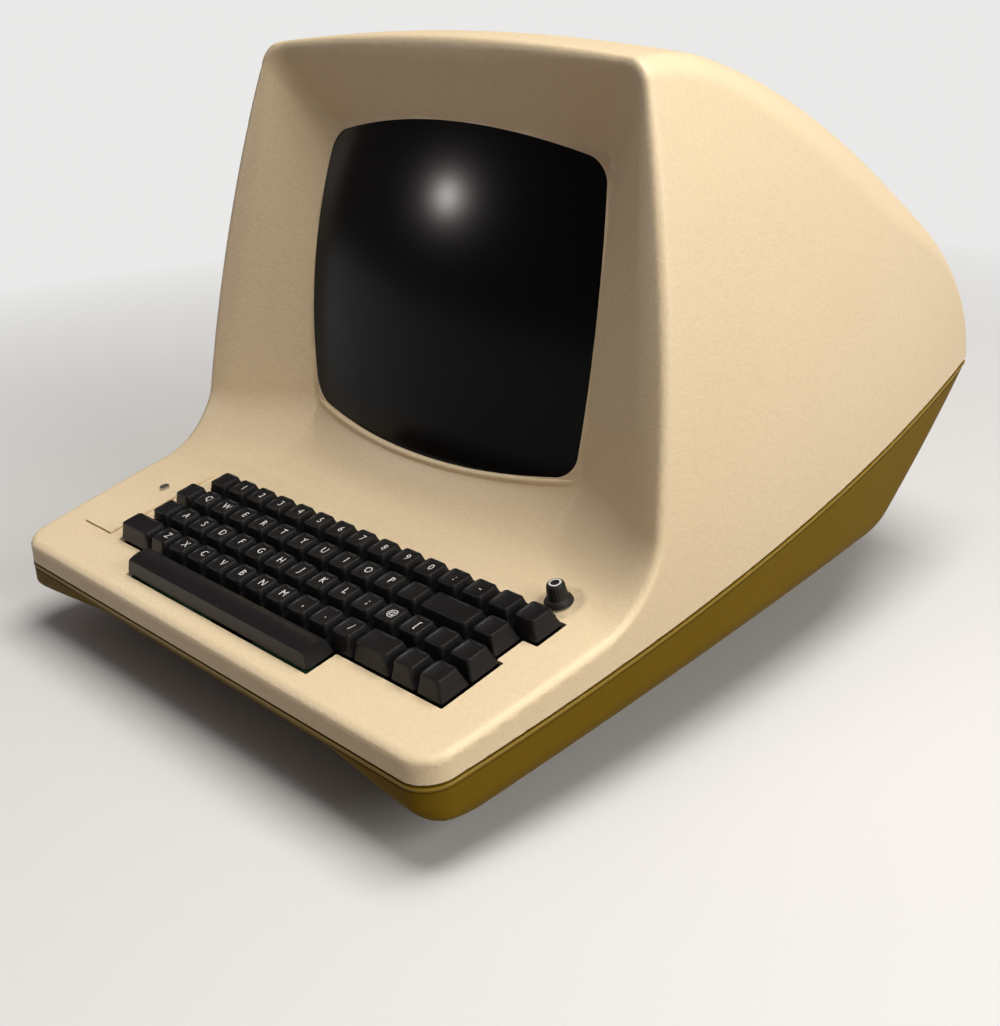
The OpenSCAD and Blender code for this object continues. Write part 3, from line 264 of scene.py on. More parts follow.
# Rubbed edges: where the surface turns outwards sharply, broken up by noise.
def buildRubbing():
    group, start, end = newGroup("rubbedEdges", {"Low": 0.52, "High": 0.62, "Break": 0.5}, ["Mask"])
    point = place(group, "ShaderNodeNewGeometry").outputs["Pointiness"]
    where = objectPlace(group)
    broken = place(group, "ShaderNodeTexNoise", Vector=where, Scale=textures["rubbing"], Detail=3.0)
    edge = mapRange(group, point, start.outputs["Low"], start.outputs["High"])
    gaps = mapRange(group, broken.outputs["Fac"], 0.35, 0.65)
    keep = math2(group, "SUBTRACT", 1.0, math2(group, "MULTIPLY", start.outputs["Break"], gaps))
    group.links.new(math2(group, "MULTIPLY", edge, keep, True), end.inputs["Mask"])


buildGrain()
buildAge()
buildRubbing()


def newMaterial(name):
    material = bpy.data.materials.new(name)
    material.use_nodes = True
    tree = material.node_tree
    return material, tree, tree.nodes["Principled BSDF"]


def useGroup(tree, name, **inputs):
    node = tree.nodes.new("ShaderNodeGroup")
    node.node_tree = bpy.data.node_groups[name]
    for key, value in inputs.items():
        if isinstance(value, tuple):
            value = (*value, 1)
        node.inputs[key].default_value = value
    return node


def bumpFrom(tree, shader, height, strength, distance):
    bump = place(tree, "ShaderNodeBump", Height=height)
    bump.inputs["Strength"].default_value = strength
    bump.inputs["Distance"].default_value = distance
    tree.links.new(bump.outputs[0], shader.inputs["Normal"])


# Each finish: base and aged colour, how far it has aged, how stained it is, roughness in the open and where
# worn, size of the grain, depth of the grain in metres, and metal share
finishes = {
    "ivory": ((0.875, 0.705, 0.468), (0.80, 0.61, 0.36), 0.35, 0.10, 0.43, 0.33, 1.0, 0.00036, 0),
    # olive: the base's olive-brown paint, made darker than the paint itself as painted shade for the low,
    # shaded base
    "olive": ((0.190, 0.116, 0.008), (0.150, 0.088, 0.007), 0.45, 0.18, 0.5, 0.36, 1.1, 0.00020, 0),
    # olive_rim_highlight: the olive painted lighter, a painted highlight along the seam bead
    "olive_rim_highlight": ((0.290, 0.185, 0.022), (0.22, 0.138, 0.018), 0.45, 0.18, 0.36, 0.28, 1.1, 0.00008, 0),
    "key_plastic": ((0.0065, 0.006, 0.0062), (0.013, 0.0125, 0.0125), 0.5, 0.25, 0.42, 0.24, 0.55, 0.00006, 0),
    "black_plastic": ((0.009, 0.0085, 0.009), (0.018, 0.017, 0.016), 0.5, 0.25, 0.45, 0.3, 0.6, 0.00006, 0),
    "brown_plastic": ((0.16, 0.10, 0.065), (0.11, 0.07, 0.045), 0.5, 0.2, 0.4, 0.28, 0.8, 0.00008, 0),
    "red_plastic": ((0.38, 0.025, 0.02), (0.3, 0.03, 0.02), 0.4, 0.2, 0.3, 0.2, 0.8, 0.00004, 0),
    "board": ((0.035, 0.135, 0.05), (0.025, 0.09, 0.04), 0.6, 0.3, 0.35, 0.25, 0.7, 0.00005, 0),
    "winding": ((0.30, 0.12, 0.045), (0.2, 0.07, 0.03), 0.5, 0.3, 0.28, 0.2, 1.2, 0.00015, 0.2),
    "capacitor": ((0.05, 0.11, 0.3), (0.04, 0.08, 0.2), 0.4, 0.2, 0.26, 0.2, 1.0, 0.00003, 0),
    "rubber": ((0.022, 0.022, 0.022), (0.05, 0.048, 0.045), 0.6, 0.3, 0.75, 0.6, 0.9, 0.00012, 0),
    "steel": ((0.50, 0.50, 0.49), (0.42, 0.40, 0.36), 0.4, 0.25, 0.36, 0.24, 0.6, 0.00003, 1),
    "aluminium": ((0.62, 0.62, 0.62), (0.5, 0.5, 0.49), 0.4, 0.2, 0.34, 0.24, 0.5, 0.00003, 1),
}
coats = {"winding": 0.5, "board": 0.35, "capacitor": 0.4}
speculars = {"olive": 0.04, "olive_rim_highlight": 0.2, "ivory": 0.38, "key_plastic": 0.22, "black_plastic": 0.26}
# Tone and share of the hollows and of the rubbed edges, how much duller aged places are, and strength of grain
wear = {
    "hollowTone": 0.8, "hollowShare": 0.25, "rubbedGain": 1.12, "rubbedLift": 0.012, "rubbedLimit": 0.9,
    "rubbedShare": 0.35, "agedMask": 0.6, "agedRough": 0.06, "grainStrength": 0.55,
}
glass = {
    "base": (0.003, 0.0028, 0.0028), "aged": (0.006, 0.0058, 0.0058), "amount": 0.5, "stains": 0.15,
    "stainSize": 2.0, "rough": (0.18, 0.24), "specular": 0.3, "ior": 1.2,
    "grain": 0.6, "grainStrength": 0.1, "grainDepth": 0.00002,
}
materials = {}


def makeFinish(name, look):
    base, aged, amount, stains, rough, worn, grain, depth, metal = look
    w = wear
    material, tree, shader = newMaterial(name)
    tint = useGroup(tree, "ageTint", Base=base, Aged=aged, Amount=amount, Stains=stains)
    bumps = useGroup(tree, "mouldedGrain", Size=grain)
    edges = useGroup(tree, "rubbedEdges").outputs["Mask"]
    hollow = tuple(w["hollowTone"] * c for c in base)
    colour = blendColour(tree, math2(tree, "MULTIPLY", bumps.outputs["Cavity"], w["hollowShare"]),
                         tint.outputs["Colour"], (*hollow, 1))
    light = tuple(min(w["rubbedLimit"], w["rubbedGain"] * c + w["rubbedLift"]) for c in base)
    colour = blendColour(tree, math2(tree, "MULTIPLY", edges, w["rubbedShare"]), colour, (*light, 1))
    tree.links.new(colour, shader.inputs["Base Color"])
    shine = mapRange(tree, tint.outputs["Mask"], 0.0, w["agedMask"], rough, rough + w["agedRough"])
    shine = math2(tree, "SUBTRACT", shine, math2(tree, "MULTIPLY", edges, rough - worn))
    tree.links.new(shine, shader.inputs["Roughness"])
    shader.inputs["Metallic"].default_value = metal
    shader.inputs["Specular IOR Level"].default_value = speculars.get(name, 0.5)
    shader.inputs["Coat Weight"].default_value = coats.get(name, 0)
    bumpFrom(tree, shader, bumps.outputs["Height"], w["grainStrength"], depth)
    materials[name] = material


# Dark tube face with a soft etched sheen, a little dust and wiping marks.
def makeGlass():
    g = glass
    material, tree, shader = newMaterial("tube_glass")
    tint = useGroup(tree, "ageTint", Base=g["base"], Aged=g["aged"], Amount=g["amount"], Stains=g["stains"],
                    Size=g["stainSize"])
    tree.links.new(tint.outputs["Colour"], shader.inputs["Base Color"])
    rough = mapRange(tree, tint.outputs["Mask"], 0.0, wear["agedMask"], *g["rough"])
    tree.links.new(rough, shader.inputs["Roughness"])
    shader.inputs["Specular IOR Level"].default_value = g["specular"]
    shader.inputs["IOR"].default_value = g["ior"]
    grain = useGroup(tree, "mouldedGrain", Size=g["grain"])
    bumpFrom(tree, shader, grain.outputs["Height"], g["grainStrength"], g["grainDepth"])
    materials["tube_glass"] = material


for name, look in finishes.items():
    makeFinish(name, look)
makeGlass()
slotOf = {part["node"]: part["material_slot"] for part in frame["record"]["subparts"]}
for node, thing in frame["nodes"].items():
    for spot in thing.material_slots:
        spot.material = materials[slotOf[node]]
print("materials placed on", len(slotOf), "nodes")

# Building meshes
# A mesh from points in millimetres. Faces are lists of point numbers.
def meshFrom(name, points, faces):
    mesh = bpy.data.meshes.new(name)
    mesh.from_pydata((np.asarray(points) * 0.001).tolist(), [], asLists(faces))
    return mesh


def asLists(faces):
    return faces if isinstance(faces, list) else faces.tolist()


def newPiece(name, points, faces, material, body, smoothAngle=35):
    mesh = meshFrom(name, points, faces)
    mesh.materials.append(material)
    piece = bpy.data.objects.new(name, mesh)
    scene.collection.objects.link(piece)
    shadeSmooth(mesh, smoothAngle)
    if body:
        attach(piece, body)
    return piece


def shadeSmooth(mesh, angle):
    mesh.polygons.foreach_set("use_smooth", np.ones(len(mesh.polygons), bool))
    mesh.set_sharp_from_angle(angle=math.radians(angle))
    mesh.update()


# Quads between the rings of a skin, facing outwards where rings climb and their points run anticlockwise.
def gridFaces(rows, columns):
    i, j = np.meshgrid(np.arange(rows - 1), np.arange(columns), indexing="ij")
    a = i * columns + j
    b = i * columns + (j + 1) % columns
    return np.stack([a, b, b + columns, a + columns], -1).reshape(-1, 4)


# Angles once round a circle.
def roundAngles(count):
    return np.linspace(0, 2 * math.pi, count, endpoint=False)


# Points and faces of a closed skin: rings from the lowest to the highest, with a fan over each end.
def closedRows(rows):
    count, around = rows.shape[:2]
    points = np.concatenate([rows.reshape(-1, 3), rows[0].mean(0)[None], rows[-1].mean(0)[None]])
    faces = gridFaces(count, around).tolist()
    k = np.arange(around)
    n = (k + 1) % around
    low, high = count * around, count * around + 1
    faces += np.stack([np.full(around, low), n, k], 1).tolist()
    top = (count - 1) * around
    faces += np.stack([np.full(around, high), top + k, top + n], 1).tolist()
    return points, faces


# Points and faces of an upright prism over an anticlockwise outline.
def prism(outline, low, high):
    outline = np.asarray(outline, float)
    count = len(outline)
    points = np.concatenate([np.c_[outline, np.full(count, low)], np.c_[outline, np.full(count, high)]])
    faces = gridFaces(2, count).tolist() + [list(range(count))[::-1], list(range(count, 2 * count))]
    return points, faces


# Anticlockwise outline of a rectangle with round corners.
def roundedOutline(width, height, radius, steps=8):
    turn = np.linspace(0, math.pi / 2, steps + 1)
    arc = np.c_[np.cos(turn), np.sin(turn)] * radius
    corners = []
    for k, (sx, sy) in enumerate(((1, 1), (-1, 1), (-1, -1), (1, -1))):
        c, s = math.cos(k * math.pi / 2), math.sin(k * math.pi / 2)
        turned = arc @ np.array([[c, s], [-s, c]])
        corners.append(turned + [sx * (width / 2 - radius), sy * (height / 2 - radius)])
    return np.concatenate(corners)


# The outline of a rounded rectangle with the same number of points let into each of its four straight sides.
def divided(outline, each=14):
    quarter = len(outline) // 4
    pieces = []
    for k in range(4):
        corner = outline[k * quarter:(k + 1) * quarter]
        a, b = corner[-1], outline[((k + 1) * quarter) % len(outline)]
        pieces += [corner, a + (b - a) * np.linspace(0, 1, each + 2)[1:-1, None]]
    return np.concatenate(pieces)


# Case
# Sizes in millimetres, close to those of the solids
case = {
    "halfWidth": 198.0, "height": 343.0, "front": -241.5, "back": 238.5,
    "sideRadius": 1500.0, "widest": -90.0, "leanRadius": 750.0, "leanFrom": 80.0,
    "crownRadius": 1400.0, "browY": -38.0, "browTurn": 16.0,
    "browRadius": 150.0, "sweepRadius": 535.0, "tailRadius": 110.0,
    "seamFront": 47.0, "seamBack": 131.0, "seamRadius": 40000.0, "seamGap": 1.2,
    "deckPoint": (-228.0, 64.4), "deckAngle": 11.8, "cheekPoint": (-82.0, 204.0), "leanAngle": 10.4,
    "frontCorner": 16.0, "cheekFillet": 30.0, "scoop": 28.0,
    # radii of the edges, each with the places or heights between which it changes
    "roofEdge": (9.0, 35.0), "roofEdgeRun": (-60.0, 150.0), "tailEdge": 4.5, "tailEdgeRise": (140.0, 250.0),
    "faceEdge": (4.4, 5.6), "faceEdgeRise": (75, 115), "recessEdge": 4.5, "wall": 4.5,
}
# Glass: a barrel outline on a ball-shaped face, with the recess flaring out from it to the cheeks
screen = {
    "point": (-55.0, 204.0), "faceOut": 15.2, "faceRadius": 560.0, "halfWidth": 119.5, "halfHeight": 93.2,
    "bow": 1130.0, "corner": 12.0, "flareCorner": 4.5, "cornerGrowth": 5.0, "cornerLimits": (2, 20),
    "cheekHalf": 190.0, "cheekLean": 0.1727, "cheekFrom": -95.0, "browV": 131.0, "floorLimit": 4.5,
    "floorGap": 0.3,
}
deckTurn, leanTurn = math.radians(case["deckAngle"]), math.radians(case["leanAngle"])


# Points given as across, along and off a plane through a place [y, z] of the case, tipped by an angle.
def tipped(points, origin, turn):
    p = np.asarray(points, float)
    c, s = math.cos(turn), math.sin(turn)
    return np.stack([p[..., 0], origin[0] + p[..., 1] * c - p[..., 2] * s,
                     origin[1] + p[..., 1] * s + p[..., 2] * c], -1)


# Points given as across, up the deck and off the deck, put in the frame of the case.
def deckToCase(points):
    return tipped(points, case["deckPoint"], deckTurn)


# Points given as across, into the screen and up the screen, put in the frame of the case.
def screenToCase(points):
    return tipped(points, screen["point"], -leanTurn)


# Higher of two distances, with an edge of radius r where they meet.
def roundCut(a, b, r):
    return np.minimum(-r, np.maximum(a, b)) + np.hypot(np.maximum(r + a, 0), np.maximum(r + b, 0))


# Lower of two distances, with a hollow of radius r where they meet.
def roundUnion(a, b, r):
    return -roundCut(-a, -b, r)


def seamCentre():
    c = case
    along = np.array([c["back"] - c["front"], c["seamBack"] - c["seamFront"]])
    middle = np.array([(c["back"] + c["front"]) / 2, (c["seamBack"] + c["seamFront"]) / 2])
    rise = math.sqrt(c["seamRadius"] ** 2 - (np.hypot(*along) / 2) ** 2)
    return middle + rise * np.array([-along[1], along[0]]) / np.hypot(*along)


seamMiddle = seamCentre()


# Distance to the side wall: an arc in plan, leaning in along a second arc above leanFrom.
def sideField(x, y, z):
    c = case
    out = np.hypot(np.abs(x) - (c["halfWidth"] - c["sideRadius"]), y - c["widest"])
    lean = np.hypot(out - (c["sideRadius"] - c["leanRadius"]), z - c["leanFrom"]) - c["leanRadius"]
    return np.where(z < c["leanFrom"], out - c["sideRadius"], lean)


# Distance to the roof: three arcs that run on from each other, swept across the crown.
def roofField(x, y, z):
    c = case
    axis = c["height"] - c["crownRadius"]
    q = np.hypot(x, z - axis) + axis
    turn = math.radians(c["browTurn"])
    brow = np.array([c["browY"], c["height"] - c["browRadius"]])
    sweep = brow - (c["sweepRadius"] - c["browRadius"]) * np.array([math.sin(turn), math.cos(turn)])
    last = math.asin((c["back"] - c["tailRadius"] - sweep[0]) / (c["sweepRadius"] - c["tailRadius"]))
    tail = sweep + (c["sweepRadius"] - c["tailRadius"]) * np.array([math.sin(last), math.cos(last)])
    # each arc: its middle, its radius and the turn where it ends
    arcs = [(brow, c["browRadius"], turn), (sweep, c["sweepRadius"], last),
            (tail, c["tailRadius"], math.pi / 2)]
    return np.select(
        [y < brow[0]] + [np.arctan2(y - m[0], q - m[1]) < end for m, r, end in arcs],
        [q - c["height"]] + [np.hypot(y - m[0], q - m[1]) - r for m, r, end in arcs],
        y - c["back"])


def deckField(y, z):
    return -(y - case["deckPoint"][0]) * math.sin(deckTurn) + (z - case["deckPoint"][1]) * math.cos(deckTurn)


# Half width of the glass at a height over its middle: its sides bow out.
def glassHalf(v):
    return screen["halfWidth"] - v ** 2 / screen["bow"]


# Height of the edge of the glass over its middle: its top and bottom bow out.
def glassTop(x):
    return screen["halfHeight"] - x ** 2 / screen["bow"]


# How far behind the screen plane the ball-shaped face lies.
def glassDepth(x, v):
    return -screen["faceOut"] + (x ** 2 + v ** 2) / (2 * screen["faceRadius"])


# Negative in the hollow before the screen: walls that flare from the edge of the glass, with a scoop over
# the deck.
def recessField(x, y, z):
    m = screen
    ahead, up = y - m["point"][0], z - m["point"][1]
    into = ahead * math.cos(leanTurn) - up * math.sin(leanTurn)
    v = ahead * math.sin(leanTurn) + up * math.cos(leanTurn)
    deep = (m["point"][0] - case["cheekPoint"][0]) * math.cos(leanTurn)
    half, top = glassHalf(v), glassTop(x)
    edge = glassDepth(m["halfWidth"], v)
    spread = (m["cheekHalf"] - (v - m["cheekFrom"]) * m["cheekLean"] - half) / (deep + edge)
    side = (np.abs(x) - half - spread * (edge - into)) / np.hypot(1, spread)
    edge = glassDepth(x, m["halfHeight"])
    rise = (m["browV"] - top) / (deep + edge)
    roof = (v - top - rise * (edge - into)) / np.hypot(1, rise)
    corner = np.clip(m["flareCorner"] - m["cornerGrowth"] * into / deep, *m["cornerLimits"])
    floor = into - np.minimum(glassDepth(x, v), m["floorLimit"]) + m["floorGap"]
    hollow = np.maximum(floor, roundCut(side, roof, corner))
    return roundCut(hollow, -deckField(y, z), case["scoop"])


def eased(start, end, value, low, high):
    share = np.clip((value - low) / (high - low), 0, 1)
    return start + (end - start) * share * share * (3 - 2 * share)


# Below zero inside the solid form of the hood, before the seam and the openings are cut.
def hoodField(x, y, z):
    c = case
    plan = roundCut(sideField(x, y, z), c["front"] - y, c["frontCorner"])
    edge = eased(*c["roofEdge"], y, *c["roofEdgeRun"])
    edge = eased(c["tailEdge"], edge, z, *c["tailEdgeRise"])
    shell = roundCut(plan, roofField(x, y, z), edge)
    lean = -(y - c["cheekPoint"][0]) * math.cos(leanTurn) + (z - c["cheekPoint"][1]) * math.sin(leanTurn)
    face = roundUnion(deckField(y, z), lean, c["cheekFillet"])
    shell = roundCut(shell, face, np.interp(z, c["faceEdgeRise"], c["faceEdge"]))
    return roundCut(shell, -recessField(x, y, z), c["recessEdge"])


# Below zero above the seam line, which is one long arc.
def seamField(y, z, gap):
    return np.hypot(y - seamMiddle[0], z - seamMiddle[1]) - (case["seamRadius"] - gap)


# How skins are drawn from fields. The probe is how far from a point the slope is felt, and the pull keeps flat
# cells steady. A field shades the skin where the skin is near its zero and faces the same way
skins = {"probe": 0.05, "pull": 0.03, "leastSlope": 0.3, "settles": 3, "near": 0.6, "facing": 0.75}


# Change of a field across twice the probe, along each axis.
def slopeOf(field, points):
    steps = skins["probe"] * np.eye(3)
    return np.stack([field(*(points + d).T) - field(*(points - d).T) for d in steps], 1)


def unitSlope(field, points):
    slope = slopeOf(field, points)
    return slope / (np.linalg.norm(slope, axis=1, keepdims=True) + 1e-12)


# Points and quads of the surface where a field is zero. Each cell that the surface crosses gets the one point
# that lies nearest to all the tangent planes where its edges cross, and each crossed edge joins four cells.
def skinOf(field, low, high, step):
    axes = [np.arange(low[k], high[k] + step, step) for k in range(3)]
    value = field(*np.meshgrid(*axes, indexing="ij"))
    cellSize = tuple(len(a) - 1 for a in axes)
    unit = np.eye(3, dtype=int)
    spots, owners, quads = [], [], []
    for k in range(3):
        at = np.argwhere(np.diff(value < 0, axis=k))
        at = at[np.all(((at > 0) | (unit[k] > 0)) & (at < cellSize), axis=1)]
        a, b = value[tuple(at.T)], value[tuple((at + unit[k]).T)]
        start = np.stack([axes[i][at[:, i]] for i in range(3)], 1)
        # where the field is zero on each crossed edge, by two steps of false position
        share = a / (a - b)
        for _ in range(2):
            found = field(*(start + (share * step)[:, None] * unit[k]).T)
            found = np.where(found == 0, 1e-9, found)
            early = (found < 0) == (a < 0)
            with np.errstate(all="ignore"):
                share = np.where(early, share + (1 - share) * found / (found - b), share * a / (a - found))
            share = np.clip(np.nan_to_num(share, nan=0.5), 0, 1)
        i, j = (k + 1) % 3, (k + 2) % 3
        around = np.stack([np.ravel_multi_index((at + di * unit[i] + dj * unit[j]).T, cellSize)
                           for di, dj in ((-1, -1), (0, -1), (0, 0), (-1, 0))], 1)
        spots.append(start + (share * step)[:, None] * unit[k])
        owners.append(around)
        quads.append(np.where((a < 0)[:, None], around, around[:, ::-1]))
    spots, owners, quads = (np.concatenate(v) for v in (spots, owners, quads))
    slope = unitSlope(field, spots)
    used, index = np.unique(owners.ravel(), return_inverse=True)
    index = index.reshape(owners.shape)
    count = len(used)
    # what each crossing adds to its four cells: one, its place, its plane and the squares of its slope
    flat = (slope * spots).sum(1)
    squares = (slope[:, :, None] * slope[:, None]).reshape(-1, 9)
    adds = np.c_[np.ones(len(spots)), spots, slope * flat[:, None], squares]
    total = np.zeros((count, adds.shape[1]))
    for corner in range(4):
        for i in range(adds.shape[1]):
            total[:, i] += np.bincount(index[:, corner], adds[:, i], count)
    number, aim, square = total[:, :1], total[:, 4:7], total[:, 7:].reshape(-1, 3, 3)
    middle = total[:, 1:4] / number
    pull = skins["pull"] * number
    points = np.linalg.solve(square + pull[:, None] * np.eye(3), (aim + pull * middle)[..., None])[..., 0]
    for _ in range(skins["settles"]):
        slope = slopeOf(field, points) / (2 * skins["probe"])
        off = field(*points.T) / np.maximum((slope ** 2).sum(1), skins["leastSlope"])
        points = points - off[:, None] * slope
    lowest = np.stack(np.unravel_index(used, cellSize), 1) * step + np.array(low)
    points = np.clip(points, lowest, lowest + step)
    lookup = np.zeros(math.prod(cellSize), int)
    lookup[used] = np.arange(count)
    return points, lookup[quads]


# Shades the moulded faces by the slope of the field itself, so that small radii look even.
def trueNormals(piece, field):
    mesh = piece.data
    at = np.empty(len(mesh.vertices) * 3)
    mesh.vertices.foreach_get("co", at)
    at = at.reshape(-1, 3) * 1000
    slope = unitSlope(field, at)
    near = np.abs(field(*at.T)) < skins["near"]
    corner = np.empty(len(mesh.loops), np.int32)
    mesh.loops.foreach_get("vertex_index", corner)
    flat = np.empty(len(mesh.polygons) * 3)
    mesh.polygons.foreach_get("normal", flat)
    sides = np.empty(len(mesh.polygons), np.int32)
    mesh.polygons.foreach_get("loop_total", sides)
    facing = (np.repeat(flat.reshape(-1, 3), sides, 0) * slope[corner]).sum(1)
    kept = near[corner] & (facing > skins["facing"])
    mesh.normals_split_custom_set(np.where(kept[:, None], slope[corner], 0).tolist())


# Cuts each closed cutter out of a piece, then removes the cutters.
def cutAway(piece, cutters):
    for points, faces in cutters:
        mesh = meshFrom("cutter", points, faces)
        cutter = bpy.data.objects.new("cutter", mesh)
        scene.collection.objects.link(cutter)
        step = piece.modifiers.new("cut", "BOOLEAN")
        step.operation, step.solver, step.object = "DIFFERENCE", "MANIFOLD", cutter
        bpy.context.view_layer.update()
        ready = piece.evaluated_get(bpy.context.evaluated_depsgraph_get())
        cutMesh = bpy.data.meshes.new_from_object(ready)
        piece.modifiers.clear()
        old, piece.data = piece.data, cutMesh
        bpy.data.meshes.remove(old)
        bpy.data.objects.remove(cutter)
        bpy.data.meshes.remove(mesh)


# Outline of the glass in the screen plane: a round-cornered rectangle with bowed sides.
def glassOutline(grow, spacing=7.0):
    m = screen
    corners = roundedOutline(2 * (m["halfWidth"] + grow), 2 * (m["halfHeight"] + grow), m["corner"] + grow)
    pieces = []
    for a, b in zip(corners, np.roll(corners, -1, 0)):
        count = max(1, int(np.hypot(*(b - a)) / spacing))
        pieces.append(a + (b - a) * np.linspace(0, 1, count, endpoint=False)[:, None])
    across, up = np.concatenate(pieces).T
    return np.c_[across * glassHalf(up) / m["halfWidth"], up * glassTop(across) / m["halfHeight"]]


def glassCutter(grow, near, far):
    outline = glassOutline(grow)
    rows = np.stack([np.c_[outline[:, 0], np.full(len(outline), d), outline[:, 1]] for d in (far, near)])
    return closedRows(screenToCase(rows))


# Key field: pitch and rows from the rear one to the space bar, in millimetres on the deck
keyField = {
    "pitch": 19.05,
    "rowLeft": (-116.2, -125.725, -120.9625, -125.725),
    "rowUnits": (15, 15, 15, 15.25),
    "barLeft": -125.725 + 2.125 * 19.05,
    "barUnits": 9,
    "gap": 1.0,
    "openingEdge": 0.8,
    "openingCorner": 0.9,
}


# Stepped outline of the opening round the keys: one band for each row, met by the widest at each step.
def keyOpening():
    k = keyField
    e, pitch = k["openingEdge"], k["pitch"]
    starts = np.array([k["barLeft"], *k["rowLeft"][::-1]])
    units = np.array([k["barUnits"], *k["rowUnits"][::-1]])
    low = np.arange(5) * pitch - e
    high = low + pitch + 2 * e

    def sideOf(edge, out):
        points = []
        for row in range(5):
            start = high[row - 1] if row > 0 and out * edge[row] < out * edge[row - 1] else low[row]
            end = low[row + 1] if row < 4 and out * edge[row + 1] >= out * edge[row] else high[row]
            points += [(edge[row], start), (edge[row], end)]
        return points

    right, left = sideOf(starts + units * pitch + e, 1), sideOf(starts - e, -1)
    return roundCorners(right + left[::-1], k["openingCorner"])


# An outline with each corner, hollow or proud, turned on an arc.
def roundCorners(outline, radius, steps=4):
    points = np.array(outline, float)
    different = np.linalg.norm(points - np.roll(points, 1, 0), axis=1) > 1e-6
    points = points[different]
    back = np.roll(points, 1, 0) - points
    on = np.roll(points, -1, 0) - points
    back /= np.linalg.norm(back, axis=1, keepdims=True)
    on /= np.linalg.norm(on, axis=1, keepdims=True)
    bent = np.abs(back[:, 0] * on[:, 1] - back[:, 1] * on[:, 0]) > 1e-3
    points, back, on = points[bent], back[bent], on[bent]
    centre = points + (back + on) * radius
    share = np.linspace(0, math.pi / 2, steps + 1)[None, :, None]
    arc = centre[:, None] - on[:, None] * radius * np.cos(share) - back[:, None] * radius * np.sin(share)
    return arc.reshape(-1, 2)


def deckPrism(outline, low, high):
    points, faces = prism(outline, low, high)
    return deckToCase(points), faces


def circleOutline(x, y, radius, count=48):
    turn = roundAngles(count)
    return np.c_[x + radius * np.cos(turn), y + radius * np.sin(turn)]


# Access plate at the left of the deck and the knob at the right, in millimetres
plate = {
    "x": -152.5, "v": 56.8, "width": 31.0, "length": 75.0, "thick": 1.6, "edge": 3.5, "screwV": 68.0,
    "gap": 0.4, "rest": 0.3, "pocketCorner": 1.6, "halfBridge": 5.5,
}
knob = {"x": 155.0, "v": 106.5, "skirt": 15.0, "grip": 9.4, "height": 11.6, "ring": (2.3, 3.3), "flutes": 18,
        "fluteDepth": 0.2}
hood = {
    "low": (-203, -246, 38), "high": (203, 242, 348), "skinStep": 2.6, "innerStep": 6.5, "innerDown": 9,
    "glassGap": 0.35, "glassCut": (-30, 66), "shaftHole": 4.9, "smoothAngle": 33,
    # where the openings of the deck end below and above it
    "through": -20, "keysTop": 40, "shaftTop": 20, "plateTop": 10,
}


# Outer skin of the moulding, hollowed by the same field moved in by the wall, then cut for what it holds.
def makeHood():
    h, p = hood, plate
    points, quads = skinOf(
        lambda x, y, z: np.maximum(hoodField(x, y, z), seamField(y, z, case["seamGap"] / 2)),
        h["low"], h["high"], h["skinStep"])
    piece = newPiece("hoodMoulding", points, quads, materials["ivory"], None)
    inner = skinOf(
        lambda x, y, z: np.maximum(hoodField(x, y, z) + case["wall"], seamField(y, z, -h["innerDown"])),
        h["low"], h["high"], h["innerStep"])
    pocket = roundedOutline(p["width"] + 2 * p["gap"], p["length"] + 2 * p["gap"], p["pocketCorner"])
    half = (p["width"] - 2 * p["edge"]) / 2
    lowV, highV = p["v"] - p["length"] / 2 + p["edge"], p["v"] + p["length"] / 2 - p["edge"]
    openings = [[(p["x"] - half, v0), (p["x"] + half, v0), (p["x"] + half, v1), (p["x"] - half, v1)]
                for v0, v1 in ((lowV, p["screwV"] - p["halfBridge"]), (p["screwV"] + p["halfBridge"], highV))]
    cutAway(piece, [
        inner,
        glassCutter(h["glassGap"], *h["glassCut"]),
        deckPrism(keyOpening(), h["through"], h["keysTop"]),
        deckPrism(circleOutline(knob["x"], knob["v"], h["shaftHole"]), h["through"], h["shaftTop"]),
        deckPrism(pocket + [p["x"], p["v"]], -p["thick"] - p["rest"], h["plateTop"]),
        *(deckPrism(outline, h["through"], h["plateTop"]) for outline in openings),
        hingeRooms(hinge["baseRooms"]),
    ])
    shadeSmooth(piece.data, h["smoothAngle"])
    trueNormals(piece, hoodField)
    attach(piece, "cover")
    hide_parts("top_cover")
    print("hood made:", len(piece.data.polygons), "faces")


# Base
# Planes, curves and openings of the lower shell, in millimetres
base = {
    "low": (-203, -246, 2), "high": (203, 244, 136), "innerHigh": (203, 244, 158), "skinStep": 3.6,
    "innerStep": 4.5,
    # rise and run of the sloping front, height of the level bottom, round stern
    "bow": (30.0, 92.0), "belly": 8.0, "sternRadius": 110.0, "sternZ": 118.0, "keelEdge": 6, "backCorner": 7.0,
    # a point, the turn in plan and the slope of each pair of lower planes
    "chines": (((115.0, 45.0, 8.0), 10.2, 0.6706), ((184.0, 117.0, 65.0), 37.9, 1.12)), "chineEdge": 5.0,
    # the front face ends low at the corners and high between them: places across and the heights there
    "lip": ((115.0, 190.0), (42.5, 31.0)), "lipEdge": 3, "wall": 4.5, "smoothAngle": 33,
    "panelWidth": 190.0, "panelHeight": 54.0, "panelY": 192.0, "panelZ": 70.0, "panelGap": 0.8, "panelFrame": 7,
    "ventPitch": 9.0, "ventWidth": 4.0, "vents": ((-60.0, 0.0), (20.0, 50.0)),
    "feet": ((-112, -125), (112, -125), (-70, 112), (70, 112)), "footHole": 2.7,
    "posts": ((-160, 10), (160, 10), (-160, 175), (20, 178), (165, 178), (-60, 100), (80, 100)),
    "postRadius": 4.5, "boardUnder": -23.6, "postReach": 90,
}
